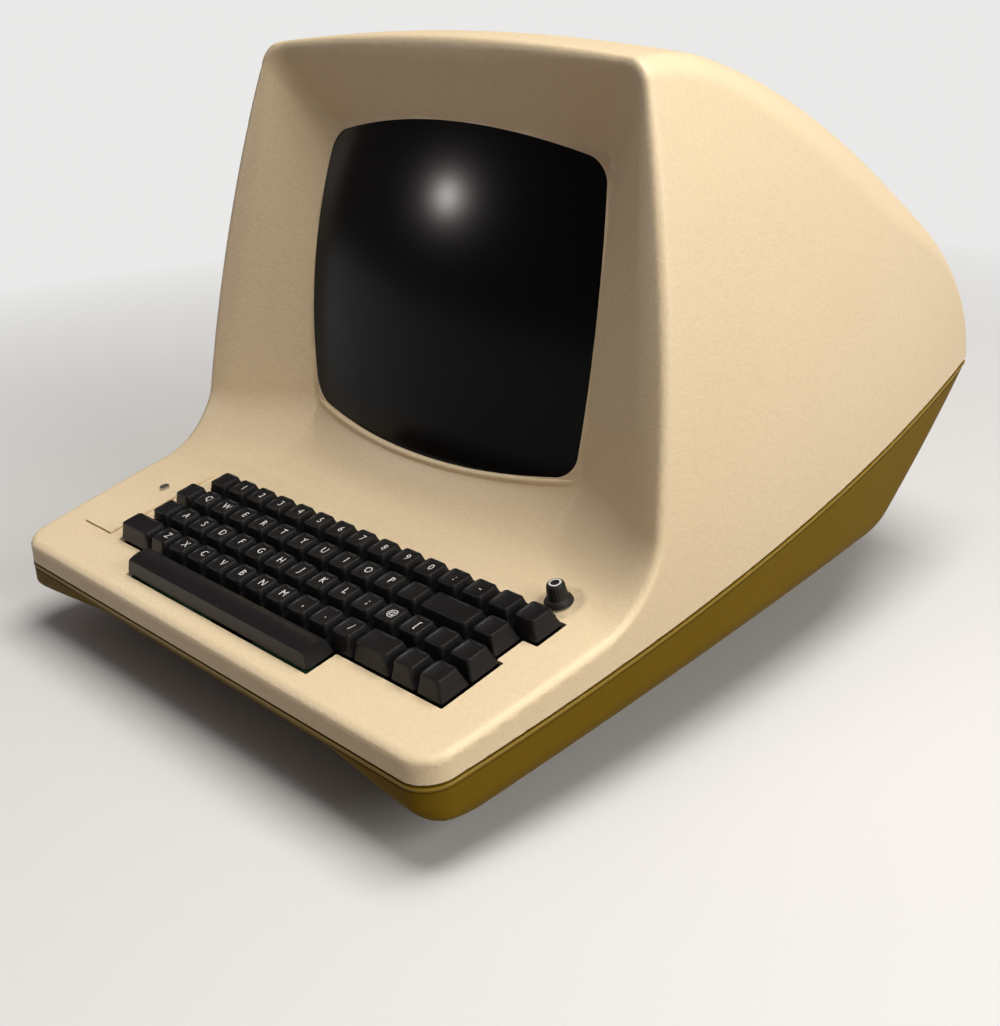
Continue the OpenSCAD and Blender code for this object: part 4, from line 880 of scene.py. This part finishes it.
hinge = {
    "x": 95.0, "y": 238.0, "z": 131.0, "radius": 3.5, "bore": 1.55, "room": 4.1, "edge": 0.3,
    # corners of the web: back from the hinge line, and away from it up or down
    "web": ((-3.4, 1), (3.2, 1), (3.2, 0.6), (-2, 14), (-3.4, 14)),
    "hoodSpans": ((-7.7, 7.7),), "baseSpans": ((-20.0, -8.0), (8.0, 20.0)),
    # where the barrels of the other half need room
    "hoodRooms": ((-8, 8),), "baseRooms": ((-20.5, -7.7), (7.7, 20.5)),
}
# Rings along the seam: inset from the outside of the base and height over the seam of each corner
seam = {
    "groove": ((-2.0, -3.75), (-2.0, -3.2), (0.45, -3.2), (0.45, -3.75)),
    "guide": ((5.0, -7.0), (5.0, 4.4), (5.5, 5.0), (7.0, 5.0), (7.5, 4.4), (7.5, -7.0)),
    "beadInset": 0.9, "beadUp": -1.85, "beadOut": 1.3, "beadTall": 1.2,
    "beadBack": ((2.6, -0.65), (2.6, -3.05)),
    # rays aim evenly at a box of about the case's own proportions, so that corners get their share
    "aim": (198, 241), "squareness": 6, "reach": (0.5, 1.3), "under": 0.6,
}


# Distance to the bottom seen from the side: a sloping bow, a level belly and a round stern.
def keelField(y, z):
    b = base
    rise, run = b["bow"]
    drop = rise - b["belly"]
    bow = (-(y - case["front"]) * drop - (z - rise) * run) / math.hypot(drop, run)
    middle = case["back"] - b["sternRadius"]
    stern = np.where(z < b["sternZ"], np.hypot(np.maximum(y - middle, 0), z - b["sternZ"]) - b["sternRadius"],
                     y - case["back"])
    return roundCut(stern, bow, b["keelEdge"])


# Below zero inside the form of the base, before the seam is cut.
def baseField(x, y, z):
    plan = roundCut(sideField(x, y, z), case["front"] - y, case["frontCorner"])
    plan = roundCut(plan, y - case["back"], base["backCorner"])
    shell = roundCut(plan, keelField(y, z), base["chineEdge"])
    lip = np.interp(np.abs(x), *base["lip"]) - z - (y - case["front"])
    shell = roundCut(shell, lip / math.sqrt(2), base["lipEdge"])
    for (px, py, pz), turn, slope in base["chines"]:
        turn = math.radians(turn)
        out = (np.abs(x) - px) * math.cos(turn) + (y - py) * math.sin(turn)
        shell = roundCut(shell, (slope * out - (z - pz)) / math.hypot(1, slope), base["chineEdge"])
    return shell


def boxField(x, y, z, low, high):
    sides = [low[0] - x, x - high[0], low[1] - y, y - high[1], low[2] - z, z - high[2]]
    return np.maximum.reduce(np.broadcast_arrays(*sides))


def seamHeight(y):
    return seamMiddle[1] - np.sqrt(case["seamRadius"] ** 2 - (y - seamMiddle[0]) ** 2)


# A closed band round the case along the seam. Each corner of its section is an inset from the base's outside
# and a height over the seam. The place on each ray from the middle is halved down until the inset fits.
def seamRing(section, count=900):
    turn = roundAngles(count)
    power = seam["squareness"]
    squeeze = (np.abs(np.cos(turn)) ** power + np.abs(np.sin(turn)) ** power) ** (-1 / power)
    aimX, aimY = seam["aim"][0] * np.cos(turn) * squeeze, seam["aim"][1] * np.sin(turn) * squeeze
    rows = []
    for inset, up in section:
        low, high = (np.full(count, share) for share in seam["reach"])
        for _ in range(26):
            share = (low + high) / 2
            x, y = aimX * share, aimY * share
            inside = baseField(x, y, seamHeight(y) - seam["under"]) < -inset
            low, high = np.where(inside, share, low), np.where(inside, high, share)
        x, y = aimX * low, aimY * low
        rows.append(np.stack([x, y, seamHeight(y) + up], -1))
    faces = gridFaces(len(section) + 1, count) % (len(section) * count)
    return np.concatenate(rows), faces.tolist()


def boxMesh(low, high):
    (x0, y0, z0), (x1, y1, z1) = low, high
    return prism([(x0, y0), (x1, y0), (x1, y1), (x0, y1)], z0, z1)


# Several meshes given as points and faces, as one.
def joined(parts):
    points, faces, total = [], [], 0
    for some, someFaces in parts:
        points.append(np.asarray(some, float))
        faces += [[v + total for v in f] for f in asLists(someFaces)]
        total += len(some)
    return np.concatenate(points), faces


# A round bar or tube along the hinge line.
def barrel(x0, x1, radius, bore=0.0, count=40):
    turn = roundAngles(count)
    edge = hinge["edge"] if bore else 0.0
    inside = bore or 0.01
    profile = np.array([(inside, x0), (radius - edge, x0), (radius, x0 + edge), (radius, x1 - edge),
                        (radius - edge, x1), (inside, x1)])
    rows = np.stack([np.repeat(profile[:, 1:], count, 1), hinge["y"] + profile[:, :1] * np.cos(turn),
                     hinge["z"] + profile[:, :1] * np.sin(turn)], -1)
    if not bore:
        return closedRows(rows)
    return rows.reshape(-1, 3), (gridFaces(7, count) % (6 * count)).tolist()


# Solid bars that make room in one half for the barrels of the other.
def hingeRooms(spans):
    return joined([barrel(side * hinge["x"] + a, side * hinge["x"] + b, hinge["room"])
                   for side in (-1, 1) for a, b in spans])


# Barrels of one half of the hinge with the webs that tie them to the shell.
def hingeParts(spans, up):
    parts = []
    web = np.array([(hinge["y"] + back, hinge["z"] + up * away) for back, away in hinge["web"]])
    web = web[::-1] if up < 0 else web
    for side in (-1, 1):
        for a, b in spans:
            x0, x1 = side * hinge["x"] + a, side * hinge["x"] + b
            parts.append(barrel(x0, x1, hinge["radius"], hinge["bore"]))
            rows = np.stack([np.c_[np.full(5, x), web] for x in (x0, x1)])
            parts.append((rows.reshape(-1, 3), gridFaces(2, 5).tolist() + [[4, 3, 2, 1, 0], [5, 6, 7, 8, 9]]))
    return parts


# What is cut out of the base: notch and opening of the rear panel, vents, foot holes, hinge room and groove.
def baseCutters():
    b = base
    wide, tall = b["panelWidth"] / 2 + b["panelGap"], b["panelHeight"] / 2 + b["panelGap"]
    y, z = b["panelY"], b["panelZ"]
    inWide, inTall = b["panelWidth"] / 2 - b["panelFrame"], b["panelHeight"] / 2 - b["panelFrame"]
    slots = []
    for i in range(-5, 6):
        for y0, y1 in b["vents"]:
            slot = roundedOutline(b["ventWidth"], y1 - y0, b["ventWidth"] / 2 - 0.01, 6)
            slots.append(prism(slot + [i * b["ventPitch"], (y0 + y1) / 2], -5, 20))
    slots += [prism(circleOutline(x, v, b["footHole"]), -5, 30) for x, v in b["feet"]]
    return [
        boxMesh((-wide, y, z - tall), (wide, y + 80, z + tall)),
        boxMesh((-inWide, y - 20, z - inTall), (inWide, y + 1, z + inTall)),
        joined(slots),
        hingeRooms(hinge["hoodRooms"]),
        seamRing(seam["groove"]),
    ]


# Outer skin of the base, hollowed round the frame of the rear panel, then cut for vents, panel and feet.
def makeBase():
    b = base
    points, quads = skinOf(
        lambda x, y, z: np.maximum(baseField(x, y, z), -seamField(y, z, -case["seamGap"] / 2)),
        b["low"], b["high"], b["skinStep"])
    piece = newPiece("baseMoulding", points, quads, materials["olive"], None)
    border = b["wall"] + 1
    wide, tall = b["panelWidth"] / 2 + b["panelGap"] + border, b["panelHeight"] / 2 + b["panelGap"] + border
    frameLow = (-wide, b["panelY"] - border, b["panelZ"] - tall)
    frameHigh = (wide, 300, b["panelZ"] + tall)
    hollow = skinOf(
        lambda x, y, z: np.maximum(np.maximum(baseField(x, y, z) + b["wall"], z - 150),
                                   -boxField(x, y, z, frameLow, frameHigh)),
        b["low"], b["innerHigh"], b["innerStep"])
    cutAway(piece, [hollow, *baseCutters()])
    shadeSmooth(piece.data, b["smoothAngle"])
    trueNormals(piece, baseField)
    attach(piece, "base")
    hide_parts("base_shell")
    print("base made:", len(piece.data.polygons), "faces")


# Bead along the rim, the lip that guides the hood, and the posts and hinge barrels.
def makeBaseFittings():
    b, s = base, seam
    turn = np.linspace(-0.5 * math.pi, 0.5 * math.pi, 7)
    bead = [(s["beadInset"] - s["beadOut"] * math.cos(a), s["beadUp"] + s["beadTall"] * math.sin(a))
            for a in turn]
    points, faces = seamRing([*bead, *s["beadBack"]])
    # the bead's lighter olive is a painted highlight
    newPiece("rimBead", points, faces, materials["olive_rim_highlight"], "base", 60)
    points, faces = seamRing(s["guide"], 500)
    newPiece("hoodGuide", points, faces, materials["olive"], "base", 40)
    parts = hingeParts(hinge["baseSpans"], -1.0)
    top = b["boardUnder"]
    down = top - np.linspace(0, b["postReach"], 361)
    for x, v in b["posts"]:
        shaft = deckToCase(np.stack(np.broadcast_arrays(x, v, down), -1))
        # each post ends half way through the wall of the base
        inside = baseField(*shaft.T) < -b["wall"] * 0.5
        points, faces = prism(circleOutline(x, v, b["postRadius"], 24), down[inside].min(), top)
        parts.append((deckToCase(points), faces))
    points, faces = joined(parts)
    newPiece("baseFittings", points, faces, materials["olive"], "base", 40)


makeBase()
makeBaseFittings()
makeHood()


# Keys
# Caps in millimetres: heights run from the skirt below the deck to the rim of the dished top
keys = {
    "skirt": 0.5, "top": 9.6, "taper": 0.26, "dish": 1.15, "bottomCorner": 1.5, "topCorner": 1.9,
    "rimRadius": 0.55, "sideBow": 0.22, "acrossShare": 0.75, "wall": 1.3, "wallAtRoof": 1.6, "roofInside": 5.5,
    "legendSize": 6.4, "legendShift": 0.9, "legendLift": 0.035, "legendThick": 0.09,
}
# Keys of each piece: row from the rear, place and width in key pitches, and the sign on the cap
firstLetter = (0, 1, 1, 1.75)
letterRows = (None, "qwertyuiop", "asdfghjkl", "zxcvbnm")
rearRow = [(0, i, 1, mark) for i, mark in enumerate(["", *"1234567890", ":", "-", "", ""])]
capSets = {
    "number_keys": rearRow,
    "edge_keys": [(1, 0, 1, ""), (1, 11, 1, ""), (1, 14, 1, ""), (2, 0, 1, ""), (2, 10, 1, ";"),
                  (2, 11, 1, "@"), (2, 12, 1, "["), (2, 13, 1, ""), (2, 14, 1, "")],
    "low_keys": [(3, 8.75, 1, ","), (3, 9.75, 1, "."), (3, 10.75, 1, "/"), (3, 13.25, 1, ""),
                 (3, 14.25, 1, "")],
    "return_key": [(1, 12, 2, "")],
    "left_shift": [(3, 0, 1.75, "")],
    "right_shift": [(3, 11.75, 1.5, "")],
}
for row in (1, 2, 3):
    for i, letter in enumerate(letterRows[row]):
        capSets["key_" + letter] = [(row, firstLetter[row] + i, 1, letter.upper())]


# Height of the top below its rim: a shallow dish across the key and a slighter one along it.
def capTop(across, along, halfWide, halfLong):
    sideways = np.clip(1 - (across / halfWide) ** 2, 0, 1)
    lengthways = np.clip(1 - (along / halfLong) ** 2, 0, 1)
    dish = keys["acrossShare"] * sideways + (1 - keys["acrossShare"]) * lengthways
    return -keys["dish"] * dish * np.clip(4 * lengthways, 0, 1) ** 0.5


# A cap as rounded rectangles stacked up its sloping sides, turned over a rim and carried in over the dish.
def capSkin(wide, long):
    k = keys
    r = k["rimRadius"]
    rise = k["skirt"] + k["top"] - r
    rings = []

    def ring(share, inward, z, corner):
        base = divided(roundedOutline(wide - 2 * inward, long - 2 * inward, corner, 5), 7)
        return np.c_[base * share, np.full(len(base), z)]

    for up in (0.0, 0.25, 0.5, 0.75, 1.0):
        z = up * rise
        corner = k["bottomCorner"] + (k["topCorner"] - k["bottomCorner"]) * up
        bow = k["sideBow"] * math.sin(math.pi * up)
        rings.append(ring(1, k["taper"] * z + bow, z, corner))
    slope = math.atan(k["taper"])
    for turn in np.linspace(0.25, 1, 4) * (math.pi / 2 - slope):
        z = rise + r * (math.sin(slope + turn) - math.sin(slope))
        inward = k["taper"] * rise + r * (math.cos(slope) - math.cos(slope + turn))
        rings.append(ring(1, inward, z, k["topCorner"]))
    edge = rings[-1]
    rimZ = edge[0, 2]
    halfW, halfL = edge[:, 0].max(), edge[:, 1].max()
    for share in (0.93, 0.8, 0.62, 0.42, 0.22, 0.06):
        flat = edge[:, :2] * share
        rings.append(np.c_[flat, rimZ + capTop(flat[:, 0], flat[:, 1], halfW, halfL)])
    under = k["roofInside"]
    inside = [(0.06, k["wallAtRoof"], under), (1, k["wallAtRoof"], under), (1, k["wall"], 0.0)]
    rows = np.stack([ring(share, inward, z, 1.0) for share, inward, z in inside] + rings)
    return rows, (rimZ, halfW, halfL)


# Points and faces of one line of plain letters, centred, lying flat, with a little thickness.
def textMesh(words, size):
    curve = bpy.data.curves.new("legend", "FONT")
    curve.body, curve.size, curve.align_x, curve.align_y = words, size, "CENTER", "CENTER"
    curve.extrude, curve.resolution_u = keys["legendThick"], 3
    holder = bpy.data.objects.new("legend", curve)
    scene.collection.objects.link(holder)
    bpy.context.view_layer.update()
    mesh = bpy.data.meshes.new_from_object(holder.evaluated_get(bpy.context.evaluated_depsgraph_get()))
    points = np.empty(len(mesh.vertices) * 3)
    mesh.vertices.foreach_get("co", points)
    faces = [list(f.vertices) for f in mesh.polygons]
    bpy.data.objects.remove(holder)
    bpy.data.curves.remove(curve)
    bpy.data.meshes.remove(mesh)
    return points.reshape(-1, 3), faces


def makeLegendInk():
    material, tree, shader = newMaterial("legendWhite")
    worn = useGroup(tree, "ageTint", Base=(0.78, 0.78, 0.75), Aged=(0.5, 0.49, 0.46), Amount=0.4, Stains=0.3)
    tree.links.new(worn.outputs["Colour"], shader.inputs["Base Color"])
    shader.inputs["Roughness"].default_value = 0.5
    return material


legendInk = makeLegendInk()


def makeKeys():
    k = keys
    pitch, gap = keyField["pitch"], keyField["gap"]
    for node, caps in capSets.items():
        parts, ink = [], []
        for row, at, units, mark in caps:
            rows, (rimZ, halfW, halfL) = capSkin(units * pitch - gap, pitch - gap)
            across, up = keyField["rowLeft"][row] + (at + units / 2) * pitch, (4.5 - row) * pitch
            middle = np.array([across, up, -k["skirt"]])
            skin, faces = closedRows(rows)
            parts.append((deckToCase(skin + middle), faces))
            ink += [0] * len(faces)
            if mark:
                letters, faces = textMesh(mark, k["legendSize"])
                letters[:, 1] += k["legendShift"]
                dish = capTop(letters[:, 0], letters[:, 1], halfW, halfL)
                letters[:, 2] += rimZ + dish + k["legendLift"] - k["legendThick"]
                parts.append((deckToCase(letters + middle), faces))
                ink += [1] * len(faces)
        points, faces = joined(parts)
        name = node.replace("_", "") + "Caps"
        piece = newPiece(name, points, faces, materials["key_plastic"], node + "_body", 50)
        piece.data.materials.append(legendInk)
        piece.data.polygons.foreach_set("material_index", np.array(ink, np.int32))
        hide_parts(node)
    print("keys made:", len(capSets), "pieces")


makeKeys()

# Knob
# Points and faces of a solid turned round the knob's axis: radii on each step of the profile, and heights.
def turnedOnDeck(radius, heights, turn):
    rows = np.stack([radius * np.cos(turn), radius * np.sin(turn), np.repeat(heights, len(turn), 1)], -1)
    points, faces = closedRows(rows)
    return deckToCase(points + [knob["x"], knob["v"], 0]), faces


# Turned knob: a profile carried round its axis, with shallow flutes pressed into the grip.
def makeKnob():
    skirt, grip, top = knob["skirt"] / 2, knob["grip"] / 2, knob["height"]
    ringIn, ringOut = knob["ring"]
    around = 144
    turn = roundAngles(around)
    profile = np.array([
        (0.3, 1.6), (6.6, 1.6), (7.2, 0.9), (7.6, 0.35), (skirt - 0.5, 0.3), (skirt - 0.1, 0.45),
        (skirt, 0.9), (skirt - 0.15, 1.5), (skirt - 0.7, 2.3), (skirt - 1.3, 2.9), (skirt - 2.0, 3.4),
        (grip + 0.75, 3.9), (grip + 0.5, 4.6), (grip + 0.35, 6.5), (grip + 0.15, 8.5), (grip - 0.05, 10.5),
        (grip - 0.25, top - 1.0), (grip - 0.45, top - 0.45), (grip - 0.8, top - 0.15), (grip - 1.3, top),
        (ringOut, top), (ringOut, top - 0.01), (ringIn, top - 0.01), (ringIn, top),
        (ringIn - 0.25, top - 0.35), (0.3, top - 0.5)])
    inGrip = np.clip((profile[:, 1] - 3.9) / 1.2, 0, 1) * np.clip((profile[:, 0] - ringOut) / 1.2, 0, 1)
    flute = knob["fluteDepth"] * inGrip[:, None] * (0.5 + 0.5 * np.cos(knob["flutes"] * turn))[None] ** 2
    points, faces = turnedOnDeck(profile[:, :1] - flute, profile[:, 1:], turn)
    piece = newPiece("brightnessDial", points, faces, materials["black_plastic"], "knob", 40)
    piece.data.materials.append(legendInk)
    # the painted ring lies between the two inner edges of the profile
    band = int(np.flatnonzero(profile[:, 1] == top - 0.01)[0])
    mark = np.zeros(len(faces), np.int32)
    mark[band * around:(band + 1) * around] = 1
    piece.data.polygons.foreach_set("material_index", mark)
    shaft = np.array([(0.2, -15.6), (3.0, -15.6), (3.17, -15.3), (3.17, 1.8), (0.2, 1.8)])
    points, faces = turnedOnDeck(shaft[:, :1], shaft[:, 1:], turn)
    newPiece("dialShaft", points, faces, materials["steel"], "knob")
    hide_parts("brightness_knob")


makeKnob()
print("knob made")

# Picture tube
tube = {
    "width": 254.0, "height": 196.0, "corner": 22.0, "panelBack": 30.0, "funnelY": 108.0, "funnelAcross": 74.0,
    "coneY": 148.0, "neck": 28.6, "neckEnd": 235.5, "pinBase": (10, 9), "faceEdge": 1.6,
    # the funnel starts a little inside the panel, with its own corners
    "funnelInset": 4, "funnelCorner": 20,
}


# Glass bulb: the ball-shaped face, its straight rim, then round-cornered sections that shrink to the neck.
def makeTube():
    t, m = tube, screen
    steps = 12
    outline = divided(roundedOutline(t["width"], t["height"], t["corner"], steps))
    count = len(outline)
    share = np.r_[np.linspace(1, 0.93, 8), np.linspace(0.90, 0.03, 30)]
    rings = outline[None] * share[:, None, None]
    into = -m["faceOut"] + m["faceRadius"] - np.sqrt(m["faceRadius"] ** 2 - (rings ** 2).sum(-1))
    into += t["faceEdge"] * (np.clip((share - 0.985) / 0.015, 0, 1) ** 2)[:, None]
    face = np.stack([rings[..., 0], into, rings[..., 1]], -1)
    sections = []
    for down in np.linspace(0, 1, 14):
        shrink = down ** 1.15
        width, height = (side - t["funnelInset"] + (t["funnelAcross"] - side + t["funnelInset"]) * shrink
                         for side in (t["width"], t["height"]))
        corner = t["funnelCorner"] + (t["funnelAcross"] / 2 - 0.01 - t["funnelCorner"]) * shrink
        o = divided(roundedOutline(width, height, min(corner, min(width, height) / 2 - 0.01), steps))
        depth = t["panelBack"] + (t["funnelY"] - t["panelBack"]) * down
        sections.append(np.c_[o[:, 0], np.full(count, depth), o[:, 1]])
    wide, narrow = t["funnelAcross"] / 2, t["neck"] / 2
    turns = [(wide * (1 - s) + narrow * s, t["funnelY"] + (t["coneY"] - t["funnelY"]) * s)
             for s in (0.35, 0.7, 1.0)]
    pinRadius, pinLength = t["pinBase"]
    turns += [(narrow, t["neckEnd"]), (pinRadius, t["neckEnd"] + 0.3), (pinRadius, t["neckEnd"] + pinLength)]
    unit = divided(roundedOutline(2, 2, 0.9999, steps))
    for radius, depth in turns:
        sections.append(np.c_[unit[:, 0] * radius, np.full(count, depth), unit[:, 1] * radius])
    rim = np.c_[outline[:, 0], np.full(count, t["panelBack"] - 0.5), outline[:, 1]]
    points, faces = closedRows(screenToCase(np.concatenate([np.stack(sections[::-1] + [rim]), face])))
    piece = newPiece("pictureTube", points, faces, materials["tube_glass"], "cover", 40)
    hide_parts("crt_tube")


makeTube()
print("tube made")

# Inside of the hood
# Bosses for the ears of the tube: places either side of the middle of the screen and sizes, in millimetres
boss = {
    "across": 118, "up": 100, "radius": 6.5, "hole": 1.8, "depth": 3, "far": 10.1, "nearLow": 6, "nearHigh": -1,
}


# A hollow boss along the screen frame: outside, rim and blind hole as one turned profile.
def ringedPost(across, v, near, count=32):
    b = boss
    turn = roundAngles(count)
    bottom = b["far"] - b["depth"]
    profile = np.array([(0.05, near), (b["radius"], near), (b["radius"], b["far"]), (b["hole"], b["far"]),
                        (b["hole"], bottom), (0.05, bottom)])
    rows = np.stack([across + profile[:, :1] * np.cos(turn), np.repeat(profile[:, 1:], count, 1),
                     v - profile[:, :1] * np.sin(turn)], -1)
    return closedRows(screenToCase(rows))


# Bosses for the ears of the tube, and the barrels and webs of the hinge, in one mesh.
def makeHoodFittings():
    b = boss
    parts = [ringedPost(sx * b["across"], sz * b["up"], b["nearLow"] if sz < 0 else b["nearHigh"])
             for sx in (-1, 1) for sz in (-1, 1)]
    points, faces = joined(parts + hingeParts(hinge["hoodSpans"], 1.0))
    newPiece("hoodFittings", points, faces, materials["ivory"], "cover")


makeHoodFittings()
print("hood fittings made")

# Ledge under the glass
# Half its length, how far it stands out and reaches down, in millimetres, and the share that fades at each end
ledge = {"half": 112.0, "proud": 1.4, "deep": 4.2, "fade": 0.2, "search": (-60.0, 12.0), "count": 120}


# How far into the screen frame the moulding begins, found by halving.
def frontOfHood(x, v):
    near, far = (np.full(x.shape, depth) for depth in ledge["search"])
    for _ in range(22):
        middle = (near + far) / 2
        at = screenToCase(np.stack([x, middle, v], -1))
        solid = hoodField(at[..., 0], at[..., 1], at[..., 2]) < 0
        near, far = np.where(solid, near, middle), np.where(solid, middle, far)
    return far


# Rounded lip that follows the lower edge of the glass and stands a little out of the moulding.
def makeLedge():
    c = ledge
    x = np.linspace(-c["half"], c["half"], c["count"])
    # each corner of the section: share of the way down and share of the way out
    end = np.clip((c["half"] - np.abs(x)) / (c["half"] * c["fade"]), 0, 1) ** 0.5
    section = [(0.05, -3.0), (0.02, 0.3), (0.05, 0.6), (0.14, 0.88), (0.3, 1.0), (0.5, 0.85), (0.7, 0.5),
               (0.88, 0.15), (1.0, -0.1), (1.05, -3.0)]
    rows = []
    for down, out in section:
        v = -glassTop(x) - down * c["deep"]
        rows.append(np.stack([x, frontOfHood(x, v) - out * c["proud"] * (end if out > 0 else 1), v], -1))
    points, faces = closedRows(screenToCase(np.stack(rows).transpose(1, 0, 2)))
    newPiece("screenLedge", points, faces, materials["ivory"], "cover", 60)


makeLedge()
print("ledge made")


# How far the darker ring round the knob reaches, in metres, and its colour
darkRing = {"reach": 0.0145, "tone": (0.30, 0.23, 0.15)}


# A broken darker ring round a point, laid over a material's colour.
def darkenRound(material, centre):
    tree = material.node_tree
    shader = tree.nodes["Principled BSDF"]
    reach, where = darkRing["reach"], objectPlace(tree)
    away = place(tree, "ShaderNodeVectorMath", {"operation": "DISTANCE"}, i0=where, i1=centre).outputs["Value"]
    broken = place(tree, "ShaderNodeTexNoise", Vector=where, Scale=textures["darkRing"], Detail=3.0).outputs["Fac"]
    ring = math2(tree, "MULTIPLY", mapRange(tree, away, reach * 0.45, reach * 0.6),
                 mapRange(tree, away, reach, reach * 0.8))
    share = math2(tree, "MULTIPLY", ring, mapRange(tree, broken, 0.3, 0.6, 0.15, 0.5))
    colour = shader.inputs["Base Color"].links[0].from_socket
    tree.links.new(blendColour(tree, share, colour, (*darkRing["tone"], 1)), shader.inputs["Base Color"])


darkenRound(materials["ivory"], deckToCase([knob["x"], knob["v"], 0]) * 0.001)
print("grime laid round the knob")
